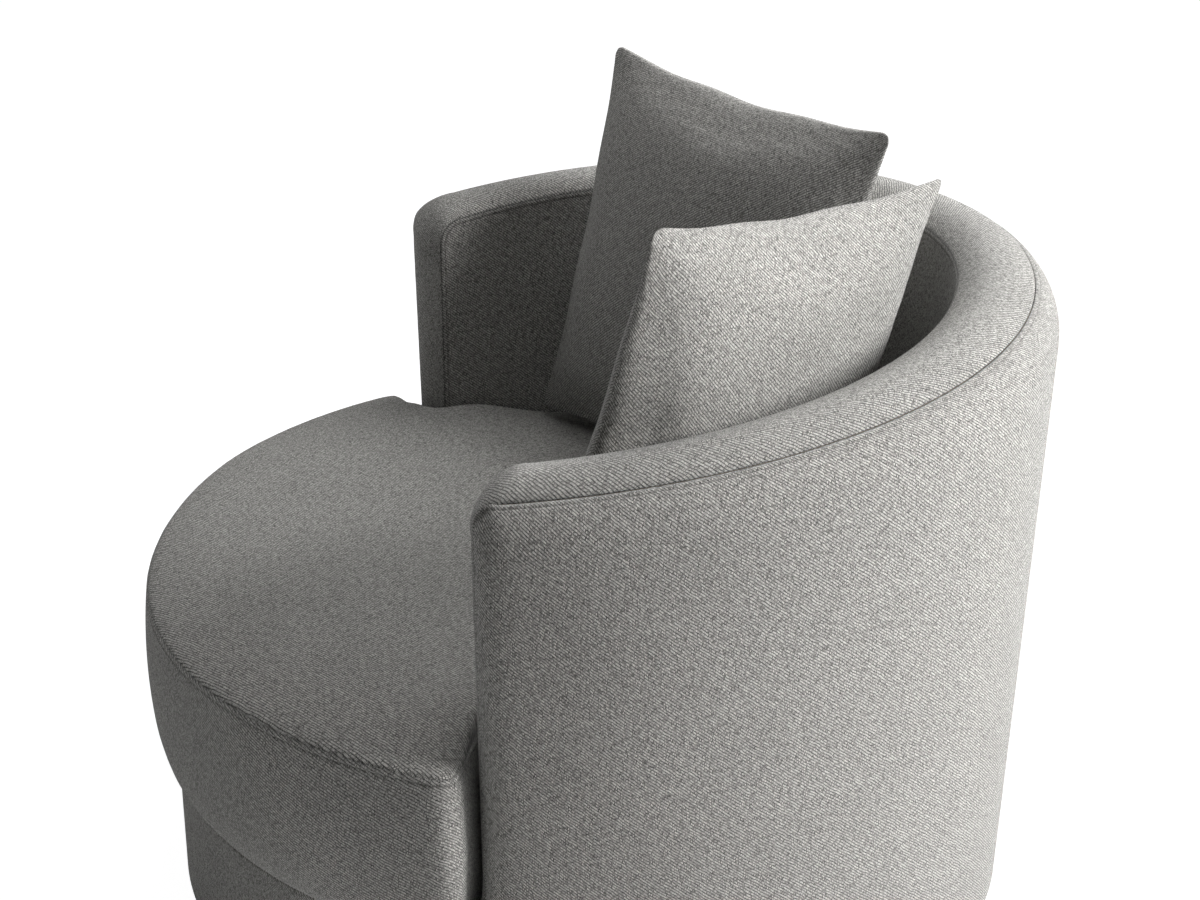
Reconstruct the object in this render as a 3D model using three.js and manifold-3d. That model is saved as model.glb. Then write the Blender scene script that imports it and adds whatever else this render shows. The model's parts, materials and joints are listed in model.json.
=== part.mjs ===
import * as THREE from 'three';
import Module from 'manifold-3d';

// Driving dimensions of the barrel, in millimetres and degrees
const barrelWidth = 1100;
const hemInset = 29;
const hemHeight = 32;
const backSeamHeight = 806;
const armSeamHeight = 723;
const armEndAngle = 110.2;
const slopePower = 1.79;
const bandWidth = 91;
const bandCrownHeight = 17;
const armFrontCrownHeight = 10;
const seamInset = 30;
const shoulderHeight = 31;
const cornerRadius = 18;
const frontInset = 4;
const seatBoardHeight = 180;

// Driving dimensions of the seat cushion
const rimOverhangWidth = 27;
const rimCentreOffset = 33;
const rimHeight = 422;
const crownHeight = 30;
const crownCentreOffset = 70;
const cushionBackClearance = 3.2;
const earClearance = 13.5;
const rimCornerRadius = 16;
const rimShoulderWidth = 30;
const sideDrawInWidth = 25;
const bottomSeamHeight = 3.5;
const bottomInset = 30;

// Driving dimensions of the loose pillows and how they lean on the wall
const pillowWidth = 504;
const pillowHalfThickness = 70;
const pinchShare = 0.06;
const pillowWallClearance = 0.6;
const leftPillowPlace = {
  placeAngle: 64,
  facingAngle: -51.4,
  leanAngle: 14.8,
  rollAngle: -7.4,
  restDepth: 1.8,
};
const rightPillowPlace = {
  placeAngle: -50.2,
  facingAngle: 32.6,
  leanAngle: 14.1,
  rollAngle: 1.3,
  restDepth: 3.2,
};

// Clearances and sheet thicknesses
const gap = 0.3;
const easyGap = 0.8;
const coverThickness = 4;
const innerCoverThickness = 3;
const plyThickness = 18;
const bandThickness = 12;
const padThickness = 37.8;

// Swivel plinth and bearing
const glideHeight = 6;
const glideRadius = 15;
const glideInset = 30;
const glideCount = 6;
const plinthRadius = 300;
const plinthHoleRadius = 45;
const plinthThickness = 22;
const plinthBevelWidth = 3;
const swivelPlateWidth = 280;
const swivelPlateCornerRadius = 24;
const swivelPlateThickness = 3;
const screwHoleRadius = 4;
const screwHoleInset = 26;
const raceRadius = 112;
const raceHalfWidth = 12;
const raceHeight = 5.9;
const raceFaceGap = 5.6;
const grooveRadius = 5.4;
const ballRadius = 4.9;
const ballCount = 8;
const cageHalfWidth = 8;
const cageThickness = 3.2;
const pinRadius = 7.7;
const pinHoleRadius = 8.2;
const pinHeadRadius = 14;
const pinHeadHeight = 3.5;

// Timber frame
const baseRingWidth = 72.2;
const dustCoverThickness = 0.8;
const dustCoverInset = 8.2;
const dustCoverHoleClearance = 7;
const crossRailWidth = 60;
const crossRailThickness = 30;
const crossRailArmClearance = 4.2;
const crossRailEndClearance = 24.2;
const crossRailEndCutWidth = 12;
const uprightThickness = 22;
const uprightStepAngle = 30;
const uprightCount = 7;
const uprightFootInset = 2.2;
const uprightCoverClearance = 5.6;
const uprightBendLength = 52;
const uprightTopClearance = 2;
const topRailInset = 4.6;
const topRailSetback = 18.4;
const armBoardClearance = 4;
const armBoardSetback = 23;
const armBoardCoverClearance = 4.6;
const armBoardTopClearance = 3.5;
const armBoardKneeHeight = 330;
const armBoardNotchLength = 36;
const frontRailThickness = 18;
const frontRailSetback = 10.6;
const seatLedgeWidth = 29;

// Seat springs and deck
const springSpacingWidth = 120;
const springCount = 5;
const wireRadius = 2;
const wireClearance = 0.5;
const springHalfWidth = 23;
const springPitchLength = 56;
const springReachLength = 14;
const springArchHeight = 5;
const clipWidth = 22;
const clipThickness = 1.2;
const clipDepth = 5;
const deckPadClearance = 1;
const deckPadThickness = 5.2;
const deckClothGap = 0.4;
const deckClothThickness = 2;
const deckFrontLength = 2;
const deckBackClearance = 1.4;
const cushionGap = 0.9;
const flangeWidth = 17;
const zipTapeThickness = 0.6;
const zipTapeHeight = 24;
const zipRiseHeight = 99.5;
const zipHalfAngle = 50;

// Covers
const fadeRiseHeight = 0.4;
const fadeHeight = 62;
const hemTurnHeight = 26;
const seamLipDepth = 0.6;
const shoulderInset = 3.2;
const innerEdgeDepth = 1.5;
const innerTaperLength = 7.5;
const innerCoverRiseHeight = 10.4;
const bandFootClearance = 1.2;
const frontCoverLength = 0.8;
const frontRoundRadius = 7;

// Counts of steps and sides
const backTurns = 28;
const frontTurns = 22;
const plinthSides = 40;
const holeSides = 12;

// Derived sizes
const degree = Math.PI / 180;
const quarterTurn = Math.PI / 2;
const fullTurn = 2 * Math.PI;
const barrelRadius = barrelWidth / 2;
const hemRadius = barrelRadius - hemInset;
const insideRadius = barrelRadius - seamInset - bandWidth;
const lineRadius = (insideRadius + barrelRadius) / 2;
const frontRadius = hemRadius - frontInset;
const frontInner = frontRadius - coverThickness;
const armEnd = armEndAngle * degree;
const plinthBottom = glideHeight + gap;
const plinthTop = plinthBottom + plinthThickness;
const lowerPlateBottom = plinthTop + gap;
const lowerPlateTop = lowerPlateBottom + swivelPlateThickness;
const ballHeight = lowerPlateTop + raceHeight + raceFaceGap / 2;
const upperPlateBottom = ballHeight + raceFaceGap / 2 + raceHeight;
const upperPlateTop = upperPlateBottom + swivelPlateThickness;
const baseRingBottom = upperPlateTop - plyThickness;
const frameBottom = upperPlateTop + gap;
const hemInner = hemRadius - 2 * coverThickness;
const hemBlockTop = hemHeight + hemTurnHeight;
const baseRingOuter = hemInner - easyGap;
const baseRingInner = baseRingOuter - baseRingWidth;
const uprightInner = insideRadius + innerCoverThickness + gap + padThickness + gap;
const topRailOuter = barrelRadius - seamInset - topRailInset;
const armBoardInner = insideRadius + innerCoverThickness + armBoardClearance;
const seatBoardBottom = seatBoardHeight - plyThickness;
const seatHoleRadius = insideRadius - seatLedgeWidth;
const wireHeight = seatBoardHeight + gap + clipThickness + wireRadius + wireClearance;
const deckPadBottom = wireHeight + springArchHeight + wireRadius + deckPadClearance;
const deckClothBottom = deckPadBottom + deckPadThickness + deckClothGap;
const deckHeight = deckClothBottom + deckClothThickness;
const flangeInner = frontRadius - flangeWidth;
const innerCoverBottom = seatBoardHeight + innerCoverRiseHeight;
const fadeBottom = deckHeight + fadeRiseHeight;
const fadeTop = fadeBottom + fadeHeight;
const cushionBottom = deckHeight + cushionGap;
const rimRadius = barrelRadius + rimOverhangWidth;

// Distances from an edge of the wall at which its covers are shaped
const cornerShares = [1 / 6, 1 / 2, 1];
const armPanelShare = 1.5;
const edgeLines = [
  seamLipDepth,
  ...cornerShares.map((share) => share * cornerRadius),
  shoulderHeight,
  armPanelShare * shoulderHeight,
];

// Height of the seam along the top at a turn from the back
function topSeam(turn) {
  const share = Math.pow(Math.abs(turn) / armEnd, slopePower);
  return backSeamHeight - (backSeamHeight - armSeamHeight) * share;
}

// Radius of the barrel's outer face at a height
function faceRadius(turn, height) {
  const shoulder = topSeam(turn) - shoulderHeight;
  const share = Math.min(1, Math.max(0, (height - hemHeight) / (shoulder - hemHeight)));
  return hemRadius + hemInset * share;
}

// The rounded arm front fades into the plain lower edge
function roundingShare(height) {
  return Math.min(1, Math.max(0, (height - fadeBottom) / fadeHeight));
}

function seamRadius(turn, height) {
  return faceRadius(turn, height) - seamInset * roundingShare(height);
}

// A point on plan from its radius and its turn from the back
function onPlan(radius, turn) {
  return [radius * Math.sin(turn), radius * Math.cos(turn)];
}

function polar(radius, turn, height) {
  return [...onPlan(radius, turn), height];
}

// Turn angle of a line a distance behind the arm's end
function endLine(distance) {
  return armEnd - distance / lineRadius;
}

// Turn angles shared by all the curved pieces round the back
function regularTurns() {
  const first = endLine(edgeLines[edgeLines.length - 1]);
  const turns = [];
  for (let i = 1; i < backTurns; i += 1) {
    turns.push(-first + (2 * first * i) / backTurns);
  }
  return turns;
}

function backStations(setback) {
  const lines = edgeLines.filter((distance) => distance > setback + gap);
  const ends = [endLine(setback), ...lines.map(endLine)];
  const left = ends.map((turn) => -turn);
  return [...left, ...regularTurns(), ...ends.reverse()];
}

// Turn angles shared by all the curved pieces round the front
function frontStations(setback) {
  const first = endLine(setback);
  const turns = [first];
  for (let i = 1; i < frontTurns; i += 1) {
    turns.push(armEnd + ((fullTurn - 2 * armEnd) * i) / frontTurns);
  }
  turns.push(fullTurn - first);
  return turns;
}

function circleOutline(radius) {
  const turns = [...backStations(cornerRadius), ...frontStations(-cornerRadius)];
  return turns.map((turn) => onPlan(radius, turn));
}

// A closed body from points and faces, with its faces turned outward
function solid(points, faces) {
  const seen = new Map();
  const kept = [];
  const renamed = points.map((point) => {
    const key = point.map((value) => Math.round(value * 10000)).join(' ');
    if (!seen.has(key)) {
      seen.set(key, kept.length);
      kept.push(point);
    }
    return seen.get(key);
  });
  const whole = [];
  let volume = 0;
  for (const face of faces) {
    const [a, b, c] = face.map((index) => renamed[index]);
    if (a !== b && b !== c && c !== a) {
      whole.push([a, b, c]);
      const [p, q, r] = [kept[a], kept[b], kept[c]].map((point) => new THREE.Vector3(...point));
      volume += p.dot(q.cross(r));
    }
  }
  const index = whole.flatMap(([a, b, c]) => (volume > 0 ? [a, b, c] : [a, c, b]));
  const geometry = new THREE.BufferGeometry();
  geometry.setAttribute('position', new THREE.Float32BufferAttribute(kept.flat(), 3));
  geometry.setIndex(index);
  geometry.computeVertexNormals();
  return geometry;
}

// The same body with its shared corners merged
function merged(geometry) {
  const position = geometry.getAttribute('position');
  const index = geometry.getIndex();
  const points = [];
  for (let i = 0; i < position.count; i += 1) {
    points.push([position.getX(i), position.getY(i), position.getZ(i)]);
  }
  const total = index ? index.count : position.count;
  const faces = [];
  for (let i = 0; i < total; i += 3) {
    faces.push([0, 1, 2].map((step) => (index ? index.getX(i + step) : i + step)));
  }
  return solid(points, faces);
}

function signedArea(outline) {
  let area = 0;
  outline.forEach(([x, y], i) => {
    const [nextX, nextY] = outline[(i + 1) % outline.length];
    area += x * nextY - nextX * y;
  });
  return area;
}

// Triangles that fill an outline, wound the way the outline runs
function fillOutline(outline) {
  const flat = outline.map(([x, y]) => new THREE.Vector2(x, y));
  const whole = Math.sign(signedArea(outline));
  return THREE.ShapeUtils.triangulateShape(flat, []).map(([a, b, c]) => {
    const own = Math.sign(signedArea([outline[a], outline[b], outline[c]]));
    return own === whole ? [a, b, c] : [a, c, b];
  });
}

// A body lofted through equal sections, closed at both ends
function loft(sections, endOutline) {
  const count = sections[0].length;
  const last = (sections.length - 1) * count;
  const faces = [];
  for (let i = 0; i + 1 < sections.length; i += 1) {
    for (let j = 0; j < count; j += 1) {
      const a = i * count + j;
      const b = i * count + ((j + 1) % count);
      faces.push([a, b, b + count], [a, b + count, a + count]);
    }
  }
  for (const [a, b, c] of fillOutline(endOutline)) {
    faces.push([a, c, b], [a + last, b + last, c + last]);
  }
  return solid(sections.flat(), faces);
}

// A body between two grids of points, closed along their four borders
function shell(front, back) {
  const columns = front.length;
  const rows = front[0].length;
  const points = [...front.flat(), ...back.flat()];
  const offset = columns * rows;
  const faces = [];
  const quad = (a, b, c, d) => faces.push([a, b, c], [a, c, d]);
  for (let i = 0; i + 1 < columns; i += 1) {
    for (let j = 0; j + 1 < rows; j += 1) {
      const a = i * rows + j;
      quad(a, a + rows, a + rows + 1, a + 1);
      quad(offset + a, offset + a + 1, offset + a + rows + 1, offset + a + rows);
    }
  }
  for (let i = 0; i + 1 < columns; i += 1) {
    const low = i * rows;
    const high = low + rows - 1;
    quad(low, offset + low, offset + low + rows, low + rows);
    quad(high, high + rows, offset + high + rows, offset + high);
  }
  for (let j = 0; j + 1 < rows; j += 1) {
    const right = (columns - 1) * rows + j;
    quad(j, j + 1, offset + j + 1, offset + j);
    quad(right, offset + right, offset + right + 1, right + 1);
  }
  return solid(points, faces);
}

// A flat board with holes, standing on the plane of its outline
function plate(outline, holes, thickness) {
  const rim = signedArea(outline) < 0 ? [...outline].reverse() : outline;
  const shape = new THREE.Shape(rim.map(([x, y]) => new THREE.Vector2(x, y)));
  for (const hole of holes) {
    shape.holes.push(new THREE.Path(hole.map(([x, y]) => new THREE.Vector2(x, y))));
  }
  return merged(new THREE.ExtrudeGeometry(shape, { depth: thickness, bevelEnabled: false }));
}

function roundOutline(centreX, centreY, radius, sides) {
  const points = [];
  for (let i = 0; i < sides; i += 1) {
    const [x, y] = onPlan(radius, (fullTurn * i) / sides);
    points.push([centreX + x, centreY + y]);
  }
  return points;
}

function squareOutline(side, corner, steps) {
  const reach = side / 2 - corner;
  const points = [];
  for (let quarter = 0; quarter < 4; quarter += 1) {
    const middle = (quarter + 1 / 2) * quarterTurn;
    const centreX = Math.sign(Math.cos(middle)) * reach;
    const centreY = Math.sign(Math.sin(middle)) * reach;
    for (let i = 0; i <= steps; i += 1) {
      const turn = (quarter + i / steps) * quarterTurn;
      points.push([centreX + corner * Math.cos(turn), centreY + corner * Math.sin(turn)]);
    }
  }
  return points;
}

// A body turned about the upright axis
function turned(profile, sides) {
  const points = profile.map(([radius, height]) => new THREE.Vector2(radius, height));
  const geometry = new THREE.LatheGeometry(points, sides);
  geometry.rotateX(quarterTurn);
  return merged(geometry);
}

// A curved piece from one section drawn at each turn angle
function curved(stations, sectionAt) {
  const sections = stations.map((turn) => {
    return sectionAt(turn).map(([radius, height]) => polar(radius, turn, height));
  });
  return loft(sections, sectionAt(stations[0]));
}

// Joining and cutting of closed bodies
const wasm = await Module();
wasm.setup();

function toManifold(geometry) {
  const closed = merged(geometry);
  const vertProperties = new Float32Array(closed.getAttribute('position').array);
  const triVerts = new Uint32Array(closed.getIndex().array);
  return new wasm.Manifold(new wasm.Mesh({ numProp: 3, vertProperties, triVerts }));
}

function fromManifold(body) {
  const mesh = body.getMesh();
  const geometry = new THREE.BufferGeometry();
  const positions = new THREE.Float32BufferAttribute(mesh.vertProperties, mesh.numProp);
  geometry.setAttribute('position', positions);
  geometry.setIndex(Array.from(mesh.triVerts));
  geometry.computeVertexNormals();
  return geometry;
}

// Materials
const kinds = {
  fabric: { color: 0x8a8984, roughness: 0.95, metalness: 0 },
  foam: { color: 0xe6dfc8, roughness: 0.9, metalness: 0 },
  felt: { color: 0x3a3a3c, roughness: 0.95, metalness: 0 },
  timber: { color: 0xc9a271, roughness: 0.7, metalness: 0 },
  steel: { color: 0xa9adb2, roughness: 0.35, metalness: 0.9 },
  nylon: { color: 0x202124, roughness: 0.55, metalness: 0 },
};

// The standing base, the turning body and the loose cushions are groups of their own
const chair = new THREE.Group();
const standingBase = new THREE.Group();
const turningBody = new THREE.Group();
const looseSeat = new THREE.Group();
chair.name = 'cuddle_chair';
chair.add(standingBase, turningBody, looseSeat);

function add(group, name, kind, geometry, height = 0) {
  const mesh = new THREE.Mesh(geometry, new THREE.MeshStandardMaterial(kinds[kind]));
  mesh.name = name;
  mesh.position.z = height;
  group.add(mesh);
  return mesh;
}

// A board standing in a plane through the upright axis
function addRadialBoard(name, outline, turn, thickness) {
  const stand = new THREE.Group();
  stand.rotation.z = quarterTurn - turn;
  turningBody.add(stand);
  const board = add(stand, name, 'timber', plate(outline, [], thickness));
  board.rotation.x = quarterTurn;
  board.position.y = thickness / 2;
}

// Floor glides under the plinth
const glideSides = 12;
const glideFootShare = 0.8;
const glideShoulderShare = 0.33;
function addGlides() {
  const foot = glideRadius * glideFootShare;
  const shoulder = glideHeight * glideShoulderShare;
  const profile = [[0, 0], [foot, 0], [glideRadius, shoulder], [glideRadius, glideHeight], [0, glideHeight]];
  for (let i = 0; i < glideCount; i += 1) {
    const glide = add(standingBase, `floor_glide_${i + 1}`, 'nylon', turned(profile, glideSides));
    const [x, y] = onPlan(plinthRadius - glideInset, (fullTurn * (i + 1 / 2)) / glideCount);
    glide.position.set(x, y, 0);
  }
}

// Round plinth board with its lower and upper edges eased
function addPlinth() {
  const rim = plinthRadius - plinthBevelWidth;
  const profile = [
    [plinthHoleRadius, 0],
    [rim, 0],
    [plinthRadius, plinthBevelWidth],
    [plinthRadius, plinthThickness - plinthBevelWidth],
    [rim, plinthThickness],
    [plinthHoleRadius, plinthThickness],
    [plinthHoleRadius, 0],
  ];
  add(standingBase, 'plinth_board', 'timber', turned(profile, plinthSides), plinthBottom);
}

// Ball bearing of the swivel: two pressed plates with grooved races and a ball cage between them
const raceSides = 24;
const grooveSteps = 4;
const screwHoleSides = 6;
const squareSteps = 3;
function grooveProfile() {
  const half = Math.acos(raceFaceGap / 2 / grooveRadius);
  const points = [];
  for (let i = 0; i <= grooveSteps; i += 1) {
    const turn = -half + (2 * half * i) / grooveSteps;
    const dip = grooveRadius * Math.cos(turn) - raceFaceGap / 2;
    points.push([raceRadius + grooveRadius * Math.sin(turn), -dip]);
  }
  return points;
}

// A plate lying under its race, measured down from the race's face
function swivelPlate() {
  const reach = swivelPlateWidth / 2 - screwHoleInset;
  const holes = [roundOutline(0, 0, pinHoleRadius, holeSides)];
  for (const signX of [-1, 1]) {
    for (const signY of [-1, 1]) {
      holes.push(roundOutline(signX * reach, signY * reach, screwHoleRadius, screwHoleSides));
    }
  }
  const outline = squareOutline(swivelPlateWidth, swivelPlateCornerRadius, squareSteps);
  const board = plate(outline, holes, swivelPlateThickness);
  board.translate(0, 0, -raceHeight - swivelPlateThickness);
  const inner = raceRadius - raceHalfWidth;
  const outer = raceRadius + raceHalfWidth;
  const root = -raceHeight - swivelPlateThickness / 2;
  const profile = [[inner, root], [inner, 0], ...grooveProfile(), [outer, 0], [outer, root], [inner, root]];
  return fromManifold(toManifold(board).add(toManifold(turned(profile, raceSides))));
}

function addSwivel() {
  const lowerFace = ballHeight - raceFaceGap / 2;
  const upperFace = ballHeight + raceFaceGap / 2;
  add(standingBase, 'swivel_lower_plate', 'steel', swivelPlate(), lowerFace);
  const upper = add(turningBody, 'swivel_upper_plate', 'steel', swivelPlate(), upperFace);
  upper.rotation.x = Math.PI;
}

const ballColumns = 8;
const ballRows = 5;
function addBallCage() {
  const half = cageThickness / 2;
  const inner = raceRadius - cageHalfWidth;
  const outer = raceRadius + cageHalfWidth;
  const ring = [[inner, -half], [outer, -half], [outer, half], [inner, half], [inner, -half]];
  let cage = toManifold(turned(ring, raceSides));
  for (let i = 0; i < ballCount; i += 1) {
    const [x, y] = onPlan(raceRadius, (fullTurn * i) / ballCount);
    const ball = new THREE.SphereGeometry(ballRadius, ballColumns, ballRows);
    ball.rotateX(quarterTurn);
    ball.translate(x, y, 0);
    cage = cage.add(toManifold(ball));
  }
  add(standingBase, 'ball_cage', 'steel', fromManifold(cage), ballHeight);
}

const pinSides = 16;
function addPin() {
  const shank = upperPlateTop - lowerPlateBottom + 2 * gap;
  const profile = [
    [0, -pinHeadHeight],
    [pinHeadRadius, -pinHeadHeight],
    [pinHeadRadius, 0],
    [pinRadius, 0],
    [pinRadius, shank],
    [pinHeadRadius, shank],
    [pinHeadRadius, shank + pinHeadHeight],
    [0, shank + pinHeadHeight],
  ];
  add(standingBase, 'swivel_pin', 'steel', turned(profile, pinSides), lowerPlateBottom - gap);
}

// Timber frame: base ring, cross rails, uprights, top rail and boards
function addBaseRing() {
  const ring = plate(circleOutline(baseRingOuter), [circleOutline(baseRingInner)], plyThickness);
  add(turningBody, 'base_ring', 'timber', ring, baseRingBottom);
}

function addDustCover() {
  const outline = circleOutline(baseRingOuter - dustCoverInset);
  const corner = Math.hypot(swivelPlateWidth / 2, swivelPlateWidth / 2);
  const hole = roundOutline(0, 0, corner + dustCoverHoleClearance, plinthSides);
  const cloth = plate(outline, [hole], dustCoverThickness);
  add(turningBody, 'dust_cover', 'felt', cloth, baseRingBottom - gap - dustCoverThickness);
}

function addCrossRails() {
  const half = crossRailWidth / 2;
  const armTurn = endLine(armBoardSetback);
  const armBoardBack = -baseRingInner * Math.cos(armTurn) - (plyThickness / 2) * Math.sin(armTurn);
  const farEdge = armBoardBack - crossRailArmClearance;
  const offset = farEdge - half;
  const reach = Math.sqrt(baseRingOuter ** 2 - farEdge ** 2) - crossRailEndClearance;
  const short = reach - crossRailEndCutWidth;
  const outline = [[-reach, -half], [reach, -half], [short, half], [-short, half]];
  const rail = plate(outline, [], crossRailThickness);
  const back = add(turningBody, 'cross_rail_back', 'timber', rail, frameBottom);
  const front = add(turningBody, 'cross_rail_front', 'timber', rail.clone(), frameBottom);
  back.position.y = offset;
  front.position.y = -offset;
  front.rotation.z = Math.PI;
}

function addUprights() {
  for (let i = 0; i < uprightCount; i += 1) {
    const turn = (i - (uprightCount - 1) / 2) * uprightStepAngle * degree;
    const edge = uprightThickness / 2 / uprightInner;
    const high = topSeam(Math.abs(turn) + edge) - bandThickness - plyThickness - uprightTopClearance;
    const bend = high - uprightBendLength;
    const outline = [
      [uprightInner, frameBottom],
      [baseRingOuter - uprightFootInset, frameBottom],
      [faceRadius(turn, bend) - uprightCoverClearance, bend],
      [topRailOuter - gap, high],
      [uprightInner, high],
    ];
    addRadialBoard(`upright_${i + 1}`, outline, turn, uprightThickness);
  }
}

function addTopRail() {
  const geometry = curved(backStations(topRailSetback), (turn) => {
    const high = topSeam(turn) - bandThickness - easyGap;
    const low = high - plyThickness;
    return [[uprightInner, low], [topRailOuter, low], [topRailOuter, high], [uprightInner, high]];
  });
  add(turningBody, 'top_rail', 'timber', geometry);
}

function addArmBoards() {
  const turn = endLine(armBoardSetback);
  const high = topSeam(turn) - bandThickness - plyThickness - armBoardTopClearance;
  const outerAt = (height) => faceRadius(turn, height) - seamInset - armBoardCoverClearance;
  const outline = [
    [baseRingInner, frameBottom],
    [outerAt(frameBottom), frameBottom],
    [outerAt(armBoardKneeHeight), armBoardKneeHeight],
    [outerAt(high), high],
    [armBoardInner, high],
    [armBoardInner, seatBoardHeight],
    [baseRingInner, seatBoardBottom],
  ];
  addRadialBoard('arm_board_left', outline, turn, plyThickness);
  addRadialBoard('arm_board_right', outline, -turn, plyThickness);
}

function addFrontRail() {
  const height = seatBoardBottom - gap - frameBottom;
  const outer = frontInner - easyGap;
  const inner = outer - frontRailThickness;
  const section = [[inner, 0], [outer, 0], [outer, height], [inner, height]];
  const geometry = curved(frontStations(frontRailSetback), () => section);
  add(turningBody, 'front_rail', 'timber', geometry, frameBottom);
}

// Seat board in four quarters round its opening, jointed between two springs
function addSeatBoard() {
  const back = uprightInner - easyGap;
  const waist = armBoardInner - easyGap;
  const front = frontInner - easyGap;
  const notch = endLine(armBoardNotchLength);
  const outline = [
    onPlan(waist, -notch),
    ...backStations(armBoardNotchLength).map((turn) => onPlan(back, turn)),
    onPlan(waist, notch),
    onPlan(waist, endLine(frontRailSetback)),
    ...frontStations(frontRailSetback).map((turn) => onPlan(front, turn)),
    onPlan(waist, -endLine(frontRailSetback)),
  ];
  const board = toManifold(plate(outline, [circleOutline(seatHoleRadius)], plyThickness));
  const joint = springSpacingWidth / 2;
  for (const [end, y] of [['back', 1], ['front', -1]]) {
    for (const [side, x] of [['left', 1], ['right', -1]]) {
      const half = board.trimByPlane([x, 0, 0], x * joint + gap / 2);
      const quarter = fromManifold(half.trimByPlane([0, y, 0], gap / 2));
      add(turningBody, `seat_board_${end}_${side}`, 'timber', quarter, seatBoardBottom);
    }
  }
}

// Sinuous seat springs with a clip at each end
const wireSides = 5;
const samplesPerRun = 4;
const springRunShares = [-1, -0.7, 0.7, 1];
function springWire(reach) {
  const runs = 2 * Math.round(reach / springPitchLength) + 1;
  const points = [];
  for (let i = 0; i < runs; i += 1) {
    const y = -reach + (2 * reach * i) / (runs - 1);
    const side = i % 2 === 0 ? 1 : -1;
    const rise = springArchHeight * (1 - (y / reach) ** 2);
    for (const share of springRunShares) {
      points.push(new THREE.Vector3(side * share * springHalfWidth, y, rise));
    }
  }
  const path = new THREE.CatmullRomCurve3(points, false, 'centripetal');
  const ring = roundOutline(0, 0, wireRadius, wireSides).map(([a, b]) => new THREE.Vector2(a, b));
  const settings = { steps: runs * samplesPerRun, bevelEnabled: false, extrudePath: path };
  return merged(new THREE.ExtrudeGeometry(new THREE.Shape(ring), settings));
}

function clipOutline() {
  const mouth = clipThickness + wireClearance + 2 * wireRadius + gap;
  const top = mouth + clipThickness;
  const wall = wireRadius + easyGap;
  return [
    [-clipDepth, 0],
    [wall + clipThickness, 0],
    [wall + clipThickness, top],
    [-clipDepth, top],
    [-clipDepth, mouth],
    [wall, mouth],
    [wall, clipThickness],
    [-clipDepth, clipThickness],
  ];
}

function addClip(name, x, y) {
  const side = Math.sign(y);
  const clip = add(turningBody, name, 'steel', plate(clipOutline(), [], clipWidth));
  clip.rotation.set(quarterTurn, 0, side * quarterTurn, 'ZYX');
  clip.position.set(x - (side * clipWidth) / 2, y, seatBoardHeight + gap);
}

function addSprings() {
  for (let i = 0; i < springCount; i += 1) {
    const x = (i - (springCount - 1) / 2) * springSpacingWidth;
    const reach = Math.sqrt(seatHoleRadius ** 2 - x ** 2) + springReachLength;
    const spring = add(turningBody, `seat_spring_${i + 1}`, 'steel', springWire(reach), wireHeight);
    spring.position.x = x;
    addClip(`spring_clip_front_${i + 1}`, x, -reach);
    addClip(`spring_clip_back_${i + 1}`, x, reach);
  }
}

// Deck pad and deck cloth over the springs
function deckSheet(outerRadius, thickness) {
  const back = insideRadius - deckBackClearance;
  const outline = [
    ...backStations(-deckFrontLength).map((turn) => onPlan(back, turn)),
    ...frontStations(-deckFrontLength).map((turn) => onPlan(outerRadius, turn)),
  ];
  return plate(outline, [], thickness);
}

function addDeck() {
  const pad = deckSheet(frontInner - easyGap, deckPadThickness);
  const cloth = deckSheet(flangeInner - easyGap, deckClothThickness);
  add(turningBody, 'deck_pad', 'felt', pad, deckPadBottom);
  add(turningBody, 'deck_cloth', 'felt', cloth, deckClothBottom);
}

// Rounding of the corner where the top seam turns down the arm's front
function roundCorner(side, top) {
  if (side >= cornerRadius || top >= cornerRadius) {
    return [side, top];
  }
  const a = cornerRadius - side;
  const b = cornerRadius - top;
  const reach = Math.max(a, b);
  const eighth = quarterTurn / 2;
  const turn = a >= b ? (eighth * b) / a : 2 * eighth - (eighth * a) / b;
  return [cornerRadius - reach * Math.cos(turn), cornerRadius - reach * Math.sin(turn)];
}

// A point of a wall sheet from its turn and its depth below the top seam, the corner rounded
function wallPoint(turn, depth, radiusAt) {
  const side = (armEnd - Math.abs(turn)) * lineRadius;
  const [roundSide, roundDepth] = roundCorner(side, depth);
  const shifted = (turn < 0 ? -1 : 1) * endLine(roundSide);
  const height = topSeam(shifted) - roundDepth;
  return polar(radiusAt(shifted, height, Math.min(side, depth)), shifted, height);
}

// Outer cover: rolled shoulder under the seam, a skin below it and a turned hem
const seamEdgeShare = 0.97;
function outerRadiusAt(turn, height, edge) {
  const left = Math.min(1, edge / shoulderHeight);
  const share = edge <= seamLipDepth ? seamEdgeShare : 1 - Math.sqrt(1 - (1 - left) ** 2);
  return faceRadius(turn, height) - seamInset * roundingShare(height) * share;
}

function innerRadiusAt(turn, height, edge) {
  if (edge <= seamLipDepth) {
    return outerRadiusAt(turn, height, edge);
  }
  if (height < hemBlockTop - gap) {
    return hemInner;
  }
  if (edge <= shoulderHeight) {
    const share = Math.min(1, edge / cornerRadius);
    return seamRadius(turn, height) + gap - (shoulderInset + gap) * share;
  }
  return faceRadius(turn, height) - coverThickness;
}

function outerCoverGrid(radiusAt) {
  return backStations(seamLipDepth).map((turn) => {
    const seam = topSeam(turn);
    const rows = [hemHeight, hemBlockTop, fadeBottom, fadeTop];
    const depths = [...rows.map((height) => seam - height), ...[...edgeLines].reverse()];
    return depths.map((depth) => wallPoint(turn, depth, radiusAt));
  });
}

function addOuterCover() {
  const geometry = shell(outerCoverGrid(outerRadiusAt), outerCoverGrid(innerRadiusAt));
  add(turningBody, 'outer_cover', 'fabric', geometry);
}

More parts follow.
